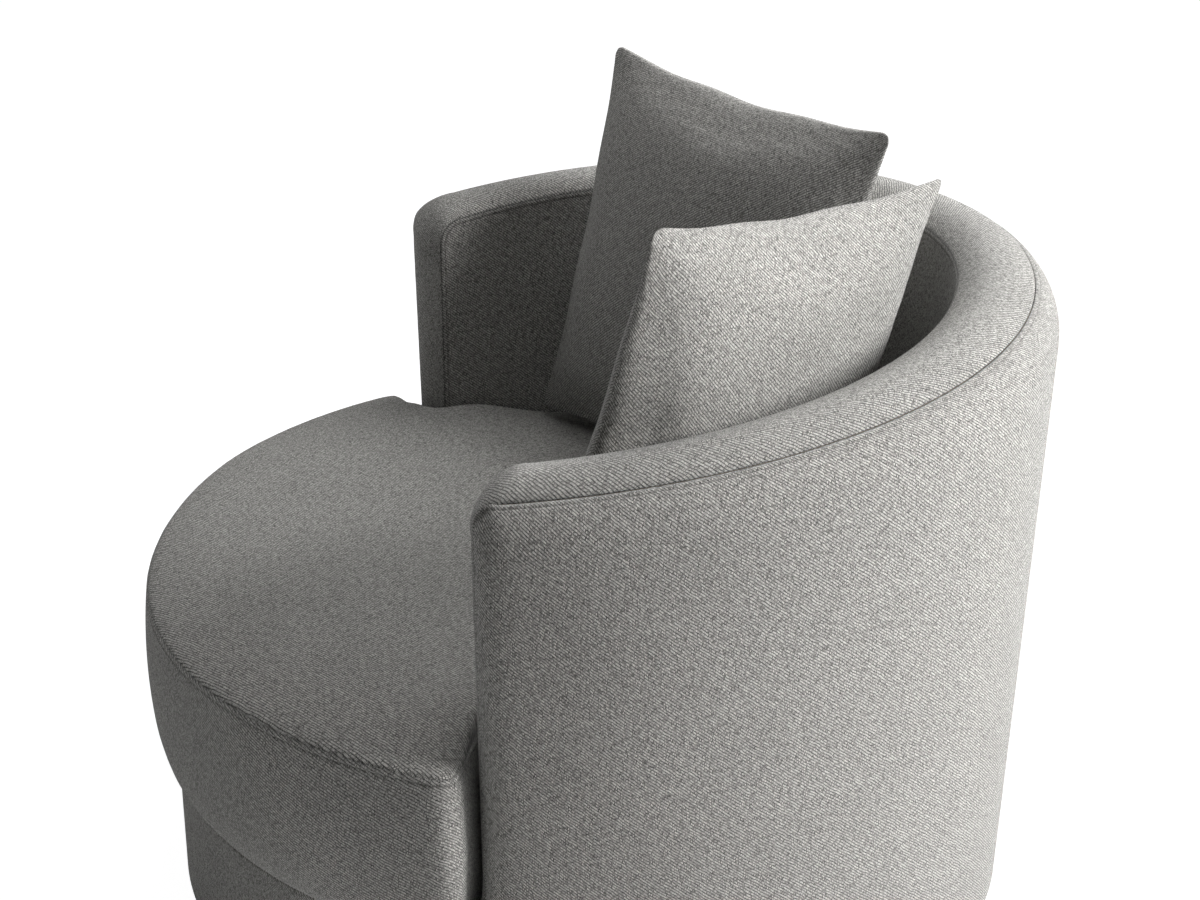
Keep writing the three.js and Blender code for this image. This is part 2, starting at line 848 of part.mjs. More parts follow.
// Inner cover and the foam behind it
function innerCoverGrid(thickness) {
  const lines = edgeLines.filter((distance) => distance > innerEdgeDepth);
  return backStations(innerEdgeDepth).map((turn) => {
    const depths = [topSeam(turn) - innerCoverBottom, ...[...lines].reverse(), innerEdgeDepth];
    return depths.map((depth) => wallPoint(turn, depth, (shifted, height, edge) => {
      const share = Math.min(1, Math.max(0, (edge - innerEdgeDepth) / innerTaperLength));
      return insideRadius + thickness * share;
    }));
  });
}

function addInnerCover() {
  const geometry = shell(innerCoverGrid(0), innerCoverGrid(innerCoverThickness));
  add(turningBody, 'inner_cover', 'fabric', geometry);
}

function addInnerPad() {
  const inner = insideRadius + innerCoverThickness + gap;
  const outer = uprightInner - gap;
  const geometry = curved(backStations(armBoardNotchLength), (turn) => {
    const high = topSeam(turn) - bandThickness - easyGap;
    return [[inner, innerCoverBottom], [outer, innerCoverBottom], [outer, high], [inner, high]];
  });
  add(turningBody, 'inner_pad', 'foam', geometry);
}

// Top band: boxing between the two seams, running over the top and down both arm fronts
const bandShares = [0, 0.12, 0.3, 0.5, 0.7, 0.88, 1];
const bandUnderShares = [0.94, 0.09];
const bandMiddleShare = 0.45;
const bandCornerSteps = 4;
function bandSection(side, depth, outward, crown) {
  const section = [];
  const put = (share, lift) => {
    const turn = endLine(side - lift * outward[0]);
    const seam = armSeamHeight + (topSeam(turn) - armSeamHeight) * outward[1];
    const height = seam - depth + lift * outward[1];
    const outer = seamRadius(turn, height);
    section.push({ radius: insideRadius + share * (outer - insideRadius), turn, height, lift });
  };
  bandShares.forEach((share) => put(share, 4 * crown * share * (1 - share)));
  bandUnderShares.forEach((share) => put(share, -bandThickness));
  return section;
}

function bandSide() {
  const sections = [];
  const middle = fadeTop + bandMiddleShare * (armSeamHeight - fadeTop);
  for (const height of [deckHeight + bandFootClearance, fadeTop, middle]) {
    sections.push(bandSection(0, armSeamHeight - height, [1, 0], armFrontCrownHeight));
  }
  for (let i = 0; i <= bandCornerSteps; i += 1) {
    const share = i / bandCornerSteps;
    const outward = [Math.cos(quarterTurn * share), Math.sin(quarterTurn * share)];
    const side = cornerRadius * (1 - outward[0]);
    const depth = cornerRadius * (1 - outward[1]);
    const crown = armFrontCrownHeight + (bandCrownHeight - armFrontCrownHeight) * share;
    sections.push(bandSection(side, depth, outward, crown));
  }
  for (const line of edgeLines.filter((distance) => distance > cornerRadius)) {
    sections.push(bandSection(line, 0, [0, 1], bandCrownHeight));
  }
  return sections;
}

function addTopBand() {
  const right = bandSide();
  const left = right.map((section) => section.map((point) => ({ ...point, turn: -point.turn })));
  const middle = regularTurns().map((turn) => {
    const distance = (armEnd - Math.abs(turn)) * lineRadius;
    const section = bandSection(distance, 0, [0, 1], bandCrownHeight);
    return section.map((point) => ({ ...point, turn: turn < 0 ? -point.turn : point.turn }));
  });
  const all = [...left, ...middle, ...right.reverse()];
  const points = all.map((section) => section.map((p) => polar(p.radius, p.turn, p.height)));
  const flat = all[0].map((point) => [point.radius, point.lift]);
  add(turningBody, 'top_band', 'fabric', loft(points, flat));
}

// Front cover over the front rail, its top edge turned in over the deck
const frontRoundShare = 0.33;
function addFrontCover() {
  const eased = frontRoundShare * frontRoundRadius;
  const section = [
    [frontRadius, hemHeight],
    [frontRadius, deckHeight - frontRoundRadius],
    [frontRadius - eased, deckHeight - eased],
    [frontRadius - frontRoundRadius, deckHeight],
    [flangeInner, deckHeight],
    [flangeInner, deckClothBottom],
    [frontInner, deckClothBottom],
    [frontInner, hemHeight],
  ];
  add(turningBody, 'front_cover', 'fabric', curved(frontStations(-frontCoverLength), () => section));
}

// Plan of the seat cushion: a round back, two ears in front of the arms and a round front
const earPoints = 3;
const cushionFrontTurns = 24;
const sideRoomShare = 0.12;
const cornerRoomShare = 0.5;
const cornerBiteShare = 0.6;
function earPoint(reach) {
  return [
    reach * Math.sin(armEnd) + earClearance * Math.cos(armEnd),
    reach * Math.cos(armEnd) - earClearance * Math.sin(armEnd),
  ];
}

function cushionPlan() {
  const backRadius = insideRadius - cushionBackClearance;
  const inner = Math.sqrt(backRadius ** 2 - earClearance ** 2);
  const half = Math.cos(armEnd) * rimCentreOffset;
  const drop = 2 * earClearance * Math.sin(armEnd) * rimCentreOffset;
  const rest = earClearance ** 2 + drop + rimCentreOffset ** 2 - rimRadius ** 2;
  const outer = half + Math.sqrt(half ** 2 - rest);
  const innerTurn = Math.atan2(...earPoint(inner));
  const turns = regularTurns().filter((turn) => Math.abs(turn) < innerTurn);
  const round = turns.map((turn) => ({ at: onPlan(backRadius, turn), room: sideRoomShare }));
  const earEnd = outer - rimCornerRadius;
  const ear = [];
  for (let i = 0; i <= earPoints; i += 1) {
    ear.push({ at: earPoint(inner + ((earEnd - inner) * i) / earPoints), room: sideRoomShare });
  }
  const corner = earPoint(outer);
  const first = Math.atan2(corner[0], corner[1] - rimCentreOffset) + rimCornerRadius / rimRadius;
  const front = [];
  for (let i = 0; i <= cushionFrontTurns; i += 1) {
    const [x, y] = onPlan(rimRadius, first + ((fullTurn - 2 * first) * i) / cushionFrontTurns);
    front.push({ at: [x, rimCentreOffset + y], room: 1 });
  }
  const before = earPoint(earEnd);
  const after = front[0].at;
  const bite = corner.map((value, k) => {
    const middle = (before[k] + after[k]) / 2;
    return middle + (value - middle) * cornerBiteShare;
  });
  const rightCorner = { at: bite, room: cornerRoomShare };
  const mirrored = (point) => ({ ...point, at: [-point.at[0], point.at[1]] });
  const leftEar = [...ear].reverse().map(mirrored);
  return [...round, ...ear, rightCorner, ...front, mirrored(rightCorner), ...leftEar];
}

function planNormals(plan) {
  return plan.map((point, i) => {
    const before = plan[(i + plan.length - 1) % plan.length].at;
    const after = plan[(i + 1) % plan.length].at;
    const run = [after[0] - before[0], after[1] - before[1]];
    const length = Math.hypot(...run);
    return [-run[1] / length, run[0] / length];
  });
}

// Rows as shares: the side's drop and swell, the rim's rise and inset, the crown's rise and size
const sideRowShares = [[1, -1], [0.92, -0.36], [0.72, 0.08], [0.46, 0.24], [0.165, 0.16], [0, 0]];
const rimRowShares = [[0.3, 0.27], [0.67, 1]];
const crownRowShares = [[0.9, 0.78], [1, 0.42]];
function cushionRows(plan) {
  const normals = planNormals(plan);
  const shifted = (distanceAt, height) => plan.map((point, i) => {
    const distance = distanceAt(point);
    return [point.at[0] + normals[i][0] * distance, point.at[1] + normals[i][1] * distance, height];
  });
  const rim = rimHeight - cushionBottom;
  const side = rim - bottomSeamHeight;
  const rows = [shifted((point) => -sideDrawInWidth * point.room - bottomInset, 0)];
  for (const [drop, swell] of sideRowShares) {
    rows.push(shifted((point) => swell * sideDrawInWidth * point.room, rim - drop * side));
  }
  for (const [rise, inset] of rimRowShares) {
    rows.push(shifted(() => -inset * rimShoulderWidth, rim + rise * crownHeight));
  }
  for (const [rise, size] of crownRowShares) {
    rows.push(plan.map(({ at }) => {
      const y = -crownCentreOffset + (at[1] + crownCentreOffset) * size;
      return [at[0] * size, y, rim + rise * crownHeight];
    }));
  }
  return rows;
}

function addSeatCushion() {
  const rows = cushionRows(cushionPlan());
  const count = rows[0].length;
  const bottomCentre = rows.length * count;
  const last = (rows.length - 1) * count;
  const top = rows[rows.length - 1][0][2];
  const points = [...rows.flat(), [0, -crownCentreOffset, 0], [0, -crownCentreOffset, top]];
  const faces = [];
  for (let i = 0; i < count; i += 1) {
    const next = (i + 1) % count;
    faces.push([bottomCentre, next, i]);
    for (let j = 0; j + 1 < rows.length; j += 1) {
      const a = j * count + i;
      const b = j * count + next;
      faces.push([a, b, b + count], [a, b + count, a + count]);
    }
    faces.push([last + i, last + next, bottomCentre + 1]);
  }
  add(looseSeat, 'seat_cushion', 'fabric', solid(points, faces), cushionBottom);
}

// Zip tape along the back of the cushion's boxing
function addZip() {
  const outer = insideRadius - gap - easyGap;
  const inner = outer - zipTapeThickness;
  const turns = regularTurns().filter((turn) => Math.abs(turn) < zipHalfAngle * degree);
  const section = [[inner, 0], [outer, 0], [outer, zipTapeHeight], [inner, zipTapeHeight]];
  add(looseSeat, 'cushion_zip', 'nylon', curved(turns, () => section), cushionBottom + zipRiseHeight);
}

// Loose square pillows with pointed corners and knife edges
const pillowSteps = 10;
const fullnessPower = 2.2;
const depthPower = 0.6;
function pillowShape() {
  const front = [];
  const back = [];
  for (let i = 0; i <= pillowSteps; i += 1) {
    const u = Math.sin(quarterTurn * ((2 * i) / pillowSteps - 1));
    const frontColumn = [];
    const backColumn = [];
    for (let j = 0; j <= pillowSteps; j += 1) {
      const v = Math.sin(quarterTurn * ((2 * j) / pillowSteps - 1));
      const x = (pillowWidth / 2) * u * (1 - pinchShare * (1 - v * v));
      const z = (pillowWidth / 2) * v * (1 - pinchShare * (1 - u * u));
      const roundU = Math.max(0, 1 - Math.abs(u) ** fullnessPower);
      const roundV = Math.max(0, 1 - Math.abs(v) ** fullnessPower);
      const depth = pillowHalfThickness * (roundU * roundV) ** depthPower;
      frontColumn.push([x, -depth, z]);
      backColumn.push([x, depth, z]);
    }
    front.push(frontColumn);
    back.push(backColumn);
  }
  return shell(front, back);
}

// The pillow's corners as it stands, turned but not yet moved
function leaningPoints(pillow) {
  pillow.updateMatrix();
  const position = pillow.geometry.getAttribute('position');
  const points = [];
  for (let i = 0; i < position.count; i += 1) {
    points.push(new THREE.Vector3().fromBufferAttribute(position, i).applyMatrix4(pillow.matrix));
  }
  return points;
}

// How far out along its turn a leaning pillow goes before it meets the wall or the band on it
function wallReach(points, height, turn) {
  const [outX, outY] = onPlan(1, turn);
  const limit = insideRadius - pillowWallClearance;
  let reach = limit;
  for (const point of points) {
    if (height + point.z < backSeamHeight) {
      const along = point.x * outX + point.y * outY;
      const spare = along ** 2 - (point.x ** 2 + point.y ** 2 - limit ** 2);
      reach = Math.min(reach, -along + Math.sqrt(spare));
    }
  }
  return reach;
}

function addPillow(name, place) {
  const pillow = add(looseSeat, name, 'fabric', pillowShape());
  pillow.rotation.set(-place.leanAngle * degree, place.rollAngle * degree, place.facingAngle * degree, 'ZXY');
  const points = leaningPoints(pillow);
  const lowest = Math.min(...points.map((point) => point.z));
  const height = rimHeight + crownHeight - place.restDepth - lowest;
  const turn = place.placeAngle * degree;
  pillow.position.set(...polar(wallReach(points, height, turn), turn, height));
}

addGlides();
addPlinth();
addSwivel();
addBallCage();
addPin();
addBaseRing();
addDustCover();
addCrossRails();
addUprights();
addTopRail();
addArmBoards();
addFrontRail();
addSeatBoard();
addSprings();
addDeck();
addOuterCover();
addInnerCover();
addInnerPad();
addTopBand();
addFrontCover();
addSeatCushion();
addZip();
addPillow('left_pillow', leftPillowPlace);
addPillow('right_pillow', rightPillowPlace);

export default chair;
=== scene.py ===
"""Round cuddle chair in grey tweed, upholstered over the packed frame"""
import json
import math

import bpy
import numpy as np
from mathutils import Matrix, Vector
from mathutils.kdtree import KDTree


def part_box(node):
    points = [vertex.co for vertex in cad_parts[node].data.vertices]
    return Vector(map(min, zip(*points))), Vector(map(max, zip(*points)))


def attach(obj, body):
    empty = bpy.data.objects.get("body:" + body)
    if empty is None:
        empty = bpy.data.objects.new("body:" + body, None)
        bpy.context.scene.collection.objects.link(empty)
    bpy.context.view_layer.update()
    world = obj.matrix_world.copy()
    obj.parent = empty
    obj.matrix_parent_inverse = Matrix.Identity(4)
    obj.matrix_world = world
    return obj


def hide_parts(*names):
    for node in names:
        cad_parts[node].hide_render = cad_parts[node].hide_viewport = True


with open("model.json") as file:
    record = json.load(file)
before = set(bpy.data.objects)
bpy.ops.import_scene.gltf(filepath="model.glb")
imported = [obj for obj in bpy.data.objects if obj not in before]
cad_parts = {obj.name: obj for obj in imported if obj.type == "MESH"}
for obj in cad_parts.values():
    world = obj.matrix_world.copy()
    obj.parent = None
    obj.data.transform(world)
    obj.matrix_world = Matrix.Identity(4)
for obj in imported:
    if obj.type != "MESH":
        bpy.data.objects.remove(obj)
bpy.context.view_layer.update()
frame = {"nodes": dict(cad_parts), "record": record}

bl_info = {
    "name": "Cuddle chair",
    "version": (1, 0, 0),
    "blender": (4, 5, 0),
    "location": "3D View > Sidebar > Chair",
    "description": "Upholstery, stitching and finishes of a round cuddle chair",
    "category": "Add Mesh",
}

MILLIMETRE = 0.001
QUARTER_TURN = math.pi / 2
LEAST_DISTANCE = 1e-9
AWAY_FROM_SEAMS = 1.0

# Distances from a seam at which the cloth beside it is sampled
SEAM_STEPS = MILLIMETRE * np.array(
    [0.3, 1, 2, 3.2, 4.5, 5.6, 6.4, 7, 7.6, 8.4, 9.6, 11.5, 14, 18, 22, 26.5, 31, 37, 44, 52]
)
STITCH_ROW = 7

# Rounding and turned-in width of the covers' hems
HEM_ROUNDING = 3 * MILLIMETRE
HEM_TURN_IN = 11 * MILLIMETRE

# Point distance along the cushion's rim where heights are blended from it
RIM_STEP = 3 * MILLIMETRE

# Share of the settled cloth's movement that is left at the seams
HELD_SHARE = 0.25


def length(name, text, default):
    """A property in metres"""
    return bpy.props.FloatProperty(
        name=name, description=text, default=default, unit="LENGTH", precision=4, min=0
    )


def place(name, text, default):
    """A property with a place in metres"""
    return bpy.props.FloatVectorProperty(
        name=name, description=text, default=default, unit="LENGTH", subtype="XYZ", size=3
    )


def angle(name, text, degrees):
    """A property whose default is given in degrees"""
    return bpy.props.FloatProperty(
        name=name, description=text, default=math.radians(degrees), subtype="ANGLE"
    )


def share(name, text, default):
    """A property from nothing to one"""
    return bpy.props.FloatProperty(
        name=name, description=text, default=default, subtype="FACTOR", min=0, max=1
    )


def number(name, text, default):
    """A property that is a plain number"""
    return bpy.props.FloatProperty(name=name, description=text, default=default)


def colour(name, text, default):
    """A property with a colour"""
    return bpy.props.FloatVectorProperty(
        name=name, description=text, default=default, subtype="COLOR", size=3, min=0, max=1
    )


class WallSizes(bpy.types.PropertyGroup):
    """Sizes of the wrap-round wall"""

    barrel_radius: length("Barrel radius", "Outer face under the shoulder", 0.55)
    hem_radius: length("Hem radius", "Outer face at the hem", 0.521)
    inside_radius: length("Inside radius", "Inner face of the wall", 0.429)
    line_radius: length("Middle radius", "Radius along which the wall is measured", 0.4895)
    front_radius: length("Front radius", "Face of the low front panel", 0.517)
    hem_height: length("Hem height", "Lower edge of the covers", 0.032)
    back_seam_height: length("Back height", "Seam height at the middle of the back", 0.806)
    arm_seam_height: length("Arm height", "Seam height at the arm fronts", 0.723)
    arm_end_angle: angle("Arm end", "Turn from the back to an arm's front", 110.2)
    slope_power: number("Slope power", "How late the top falls towards the arms", 1.79)
    seam_inset: length("Seam inset", "How far the shoulder rolls in to its seam", 0.03)
    shoulder_start: angle("Shoulder start", "Slope of the shoulder at its seam", 35)
    side_roll: share("Side roll", "Width of the roll at an arm's front against the shoulder", 0.55)
    corner_radius: length("Corner radius", "Rounding of the outer seam at the arm's front", 0.023)
    inner_corner_radius: length("Inner corner radius", "Rounding of the inner seam", 0.03)
    band_corner_radius: length("Band corner radius", "Rounding along the band's middle", 0.055)
    deck_height: length("Deck height", "Top of the deck under the cushion", 0.1996)
    fade_bottom: length("Fade start", "Height at which the arm front starts to round", 0.2)
    fade_top: length("Fade end", "Height from which the arm front is fully rounded", 0.262)
    band_crown: length("Band crown", "Rise of the top band between its seams", 0.017)
    front_crown: length("Arm front crown", "Rise of the band on the arm fronts", 0.01)
    inner_foot: length("Inner foot", "Lower edge of the inner panel", 0.1906)
    front_rounding: length("Front rounding", "Rounding of the front panel's upper edge", 0.007)
    front_flange: length("Front flange", "Width of the front panel turned in on the deck", 0.0166)
    cloth_thickness: length("Cloth thickness", "Thickness of the covers", 0.0024)
    cloth_step: length("Cloth step", "Distance between points of the covers", 0.009)


class SeamSizes(bpy.types.PropertyGroup):
    """Sizes of the sewn seams and their stitches"""

    crease_depth: length("Crease depth", "How deep the cloth dips into a seam", 0.0021)
    crease_width: length("Crease width", "How far from the seam the dip reaches", 0.0024)
    groove_depth: length("Groove depth", "How deep a row of stitches sinks in", 0.0007)
    groove_width: length("Groove width", "Half width of the sunk row", 0.0012)
    ridge_height: length("Ridge height", "Rise of the allowance between seam and stitches", 0.0004)
    pucker_height: length("Pucker height", "Small waves beside the seams", 0.00022)
    pucker_reach: length("Pucker reach", "How far the small waves reach", 0.02)
    stitch_length: length("Stitch length", "Length of one stitch", 0.0046)
    stitch_pitch: length("Stitch pitch", "Distance from stitch to stitch", 0.0062)
    thread_radius: length("Thread radius", "Half thickness of the thread", 0.0004)
    # The shades below are painted shade in the cloth's colour beside the seams and their rows of
    # stitches
    outer_shade: share("Outer shade", "Shade in the outer panel's seam", 0.15)
    outer_stitch_shade: share("Outer stitch shade", "Shade in its row of stitches", 0.25)
    inner_shade: share("Inner shade", "Shade in the inner panel's seam", 1.0)
    inner_stitch_shade: share("Inner stitch shade", "Shade in its row of stitches", 0.5)
    rim_shade: share("Rim shade", "Shade in the cushion's seams", 0.5)
    rim_stitch_shade: share("Rim stitch shade", "Shade in its row of stitches", 0.35)


class CushionSizes(bpy.types.PropertyGroup):
    """Sizes of the seat cushion"""

    back_radius: length("Back radius", "Round back of the cushion", 0.4258)
    ear_clearance: length("Ear clearance", "Room between an arm's front and the ear", 0.0155)
    rim_radius: length("Rim radius", "Round front of the cushion", 0.577)
    rim_centre: length("Rim centre", "How far behind the swivel the front's centre lies", 0.033)
    rim_height: length("Rim height", "Height of the rim seam", 0.422)
    crown_height: length("Crown height", "Rise of the top above the rim seam", 0.03)
    bottom_height: length("Bottom height", "Underside of the cushion", 0.2005)
    bottom_seam_height: length("Bottom seam", "Lower seam above the underside", 0.0035)
    bottom_inset: length("Bottom inset", "Width over which the underside lifts to its seam", 0.03)
    draw_in: length("Draw in", "How far the side draws in at the bottom seam", 0.025)
    middle_offset: length("Middle offset", "How far ahead of the swivel the top's rows meet", 0.25)
    corner_rounding: length("Corner rounding", "Smoothing of the plan's corners", 0.018)
    crown_reach: length("Crown reach", "How slowly the crown rises from the rim", 0.1)
    edge_reach: length("Edge reach", "How fast the top rises right beside the rim", 0.008)
    open_rise: length("Open rise", "Quick rise beside the open rim", 0.004)
    wall_rise: length("Wall rise", "Quick rise beside the wall", 0.013)
    foot_rise: length("Foot rise", "Further rise beside the arms' inner feet", 0.021)
    far_lift: length("Far lift", "How much higher the far ear stands than the near one", 0.014)
    lift_width: length("Lift width", "Distance over which it rises from the middle", 0.35)
    lift_depth: length("Lift depth", "Distance over which it rises towards the front", 0.15)
    front_reach: length("Front reach", "How far that rise reaches forwards", 0.068)
    back_reach: length("Back reach", "How far that rise reaches backwards", 0.12)
    cloth_step: length("Cloth step", "Distance between points of the cushion", 0.0105)
    growth: number("Growth", "How much larger the cloth is than its shape", 0.02)
    settling_step: length("Settling step", "Point distance while the cloth settles", 0.012)
    settling_reach: length("Settling reach", "Furthest that the settling cloth moves", 0.004)


class PillowSizes(bpy.types.PropertyGroup):
    """Sizes of the loose pillows"""

    width: length("Width", "Width of a pillow from corner to corner", 0.508)
    half_thickness: length("Half thickness", "Half the pillow's thickness in the middle", 0.07)
    pinch: share("Pinch", "How far the edges draw in between the corners", 0.064)
    edge_wave: share("Edge wave", "Gentle wave of the edges", 0.006)
    corner_rounding: length("Corner rounding", "Radius of the blunt corners", 0.017)
    fullness: number("Fullness", "How square the filling is", 1.9)
    depth_power: number("Edge fullness", "How fast the filling rises from the edge", 0.62)
    edge_reach: length("Edge reach", "How far in from the edge the cloth lies tighter", 0.07)
    edge_rise: length("Edge rise", "How far in from the edge the cloth settles fully", 0.11)
    growth: number("Growth", "How much larger the cloth is than its shape", 0.024)
    settling_step: length("Settling step", "Point distance while the cloth settles", 0.0075)
    settling_reach: length("Settling reach", "Furthest that the settling cloth moves", 0.01)
    wall_gap: length("Wall gap", "Least distance to the wall", 0.0006)
    seat_gap: length("Seat gap", "Least distance to the seat", 0.0004)


class FinishLook(bpy.types.PropertyGroup):
    """Colours and weave of the finishes"""

    light_yarn: colour("Light yarn", "Lighter yarn of the tweed", (0.86, 0.845, 0.8))
    dark_yarn: colour("Dark yarn", "Darker yarn of the tweed", (0.16, 0.156, 0.146))
    warp_pitch: length("Warp pitch", "Distance between lengthways yarns", 0.00118)
    weft_pitch: length("Weft pitch", "Distance between crossways yarns", 0.00094)
    # Pit shade is the painted shade in the gaps between yarns, as a share of the yarn's colour
    pit_shade: share("Pit shade", "Brightness of the gaps between yarns", 0.02)
    thread: colour("Thread", "Sewing thread", (0.12, 0.118, 0.11))
    felt: colour("Felt", "Black felt and lining cloth", (0.02, 0.02, 0.021))
    timber_light: colour("Light timber", "Pale grain of the boards", (0.66, 0.48, 0.3))
    timber_dark: colour("Dark timber", "Dark grain of the boards", (0.42, 0.27, 0.15))
    steel: colour("Steel", "Plated steel", (0.5, 0.51, 0.53))
    nylon: colour("Nylon", "Glides and zip", (0.02, 0.02, 0.022))
    foam: colour("Foam", "Upholstery foam", (0.72, 0.64, 0.46))


class StudioLook(bpy.types.PropertyGroup):
    """Camera, floor and light"""

    lens: number("Lens", "Focal length in millimetres", 72.76)
    sensor: number("Sensor", "Width of the camera's sensor in millimetres", 36)
    camera_place: place("Camera place", "Where the camera stands", (2.6810, -0.3381, 1.7397))
    camera_yaw: angle("Camera yaw", "Turn of the view towards the back", 7.48)
    camera_pitch: angle("Camera pitch", "How far the view looks down", 23.545)
    key_power: number("Key light", "Power of the large lamp behind the chair, in watts", 305)
    key_turn: angle("Key turn", "Turn of the large lamp from the back", 20.8)
    key_rise: angle("Key rise", "Angle at which it stands above the chair", 27)
    key_distance: length("Key distance", "How far from the chair it stands", 4.2)
    key_height: length("Key height", "Height of the point it stands round", 0.55)
    key_size: length("Key size", "Width of the large lamp", 2.2)
    top_power: number("Top light", "Power of the lamp above the far arm, in watts", 46)
    top_place: place("Top place", "Where that lamp hangs", (-1.2, 1.0, 3.2))
    top_size: length("Top size", "Width of that lamp", 2.4)
    side_power: number("Side light", "Power of the lamp before the far arm, in watts", 10)
    side_place: place("Side place", "Where that lamp hangs", (-1.4, -1.7, 2.5))
    side_size: length("Side size", "Width of that lamp", 1.8)
    over_power: number("Over light", "Power of the lamp above the seat, in watts", 17)
    over_place: place("Over place", "Where that lamp hangs", (0.5, 0.1, 3.5))
    over_size: length("Over size", "Width of that lamp", 1.8)
    aim_height: length("Aim height", "Height at which the lamps point", 0.5)
    room_light: number("Room light", "Strength of the light from all round", 0.056)
    floor_half: length("Floor half", "Half the floor's width", 30)
    floor_white: number("Floor white", "Strength of the floor's own white", 1.28)
    floor_shadow: share("Floor shadow", "How much of the floor takes light and shadow", 0.24)
    floor_tone: colour("Floor tone", "Colour of the floor", (0.8, 0.8, 0.8))


def sizes(name):
    """The scene's group of that name"""
    return getattr(bpy.context.scene, name)


# Curves of the wall
def top_seam(wall, turn):
    """Height of the seam along the top at a turn from the back"""
    fall = wall.back_seam_height - wall.arm_seam_height
    return wall.back_seam_height - fall * (np.abs(turn) / wall.arm_end_angle) ** wall.slope_power


def face_radius(wall, turn, height):
    """Radius of the barrel's outer face"""
    shoulder = top_seam(wall, turn) - shoulder_bend(wall) * math.cos(wall.shoulder_start)
    rise = np.clip((height - wall.hem_height) / (shoulder - wall.hem_height), 0, 1)
    return wall.hem_radius + (wall.barrel_radius - wall.hem_radius) * rise


def shoulder_bend(wall):
    """Radius of the shoulder's arc"""
    return wall.seam_inset / (1 - math.sin(wall.shoulder_start))


def smooth_step(value):
    """Rises smoothly from nothing to one"""
    rise = np.clip(value, 0, 1)
    return rise * rise * (3 - 2 * rise)


def rounding_share(wall, height):
    """How far the arm's front is rounded at a height"""
    return smooth_step((height - wall.fade_bottom) / (wall.fade_top - wall.fade_bottom))


def shoulder_radius(wall, turn, height, edge):
    """Outer face with its shoulder rolled in towards the seam"""
    bend = shoulder_bend(wall)
    left = np.clip(math.cos(wall.shoulder_start) - edge / bend, 0, None)
    inset = bend * (1 - np.sqrt(1 - left**2))
    return face_radius(wall, turn, height) - rounding_share(wall, height) * inset


def round_corner(side, depth, radius):
    """Moves points near a square corner on to an arc round it"""
    from_side = np.clip(radius - side, 0, None)
    from_depth = np.clip(radius - depth, 0, None)
    reach = np.maximum(np.maximum(from_side, from_depth), LEAST_DISTANCE)
    eighth = QUARTER_TURN / 2
    low_turn = eighth * from_depth / reach
    high_turn = QUARTER_TURN - eighth * from_side / reach
    turn = np.where(from_side >= from_depth, low_turn, high_turn)
    inside = (from_side > 0) & (from_depth > 0)
    rounded_side = np.where(inside, radius - reach * np.cos(turn), side)
    rounded_depth = np.where(inside, radius - reach * np.sin(turn), depth)
    return rounded_side, rounded_depth


def corner_distance(side, depth, reach):
    """Distance from two edges whose corner is rounded over a reach"""
    power = 3
    across = np.clip(reach - side, 0, None)
    down = np.clip(reach - depth, 0, None)
    return np.clip(reach - (across**power + down**power) ** (1 / power), 0, None)


def polar(radius, turn, height):
    """Points at a radius from the swivel's axis and a turn from the back"""
    return np.stack(
        [radius * np.sin(turn), radius * np.cos(turn), height + 0 * radius * turn], axis=-1
    )


def roll_depth(wall, run):
    """Depth below the seam at a distance along the rolled shoulder"""
    bend = shoulder_bend(wall)
    start = wall.shoulder_start
    turn = np.minimum(start + run / bend, QUARTER_TURN)
    straight = np.clip(run - bend * (QUARTER_TURN - start), 0, None)
    return bend * (math.cos(start) - np.cos(turn)) + straight


def wall_sheet(wall, foot, corner_radius, side_roll, radius_at, depth_at):
    """Points of a wall sheet, their distances from its seams and their turns

    Rows run down from the seam and columns from the far arm round the back. Both lie close
    together beside the seams.
    """
    steps = depth_at(SEAM_STEPS)
    first = wall.arm_end_angle - steps[-1] * side_roll / wall.line_radius
    count = round(2 * first * wall.line_radius / wall.cloth_step)
    middle = np.linspace(-first, first, count + 1)[1:-1]
    near = wall.arm_end_angle - steps * side_roll / wall.line_radius
    turns = np.concatenate([-near, middle, near[::-1]])
    far = np.full(len(middle), AWAY_FROM_SEAMS)
    side_run = np.concatenate([SEAM_STEPS, far, SEAM_STEPS[::-1]])
    seam = top_seam(wall, turns)
    below = seam - foot - steps[-1]
    count = round(below.max() / wall.cloth_step)
    lower = np.arange(1, count + 1)[:, None] / count * below + steps[-1]
    depth = np.concatenate([np.repeat(steps[:, None], len(turns), axis=1), lower])
    depth_run = np.concatenate([SEAM_STEPS, np.full(count, AWAY_FROM_SEAMS)])[:, None]
    side = (wall.arm_end_angle - np.abs(turns)) * wall.line_radius + 0 * depth
    round_side, round_depth = round_corner(side, depth, corner_radius)
    turn = np.sign(turns) * (wall.arm_end_angle - round_side / wall.line_radius)
    height = top_seam(wall, turn) - round_depth
    reach = shoulder_bend(wall) * math.cos(wall.shoulder_start)
    edge = corner_distance(side / side_roll, depth, reach)
    points = polar(radius_at(turn, height, edge), turn, height)
    return points, np.minimum(side_run, depth_run), turn


def run_length(points, axis):
    """Length measured along the rows or columns of a grid"""
    steps = np.linalg.norm(np.diff(points, axis=axis), axis=-1)
    start = np.zeros_like(steps.take([0], axis=axis))
    return np.concatenate([start, np.cumsum(steps, axis=axis)], axis=axis)


def grid_normals(points, closed=False):
    """Unit normals of a grid, pointing to the side from which its rows run down to the right"""
    if closed:
        across = (np.roll(points, -1, axis=1) - np.roll(points, 1, axis=1)) / 2
    else:
        across = np.gradient(points, axis=1)
    normals = np.cross(across, np.gradient(points, axis=0))
    lengths = np.linalg.norm(normals, axis=-1, keepdims=True)
    return normals / np.maximum(lengths, LEAST_DISTANCE)


def waves(run):
    """A gentle uneven wave along a seam"""
    periods = (0.0231, 0.0372, 0.0617)
    shift = 1.7
    total = 0
    for place, period in enumerate(periods):
        total = total + np.sin(2 * math.pi * run / period + shift * place)
    return total / len(periods)


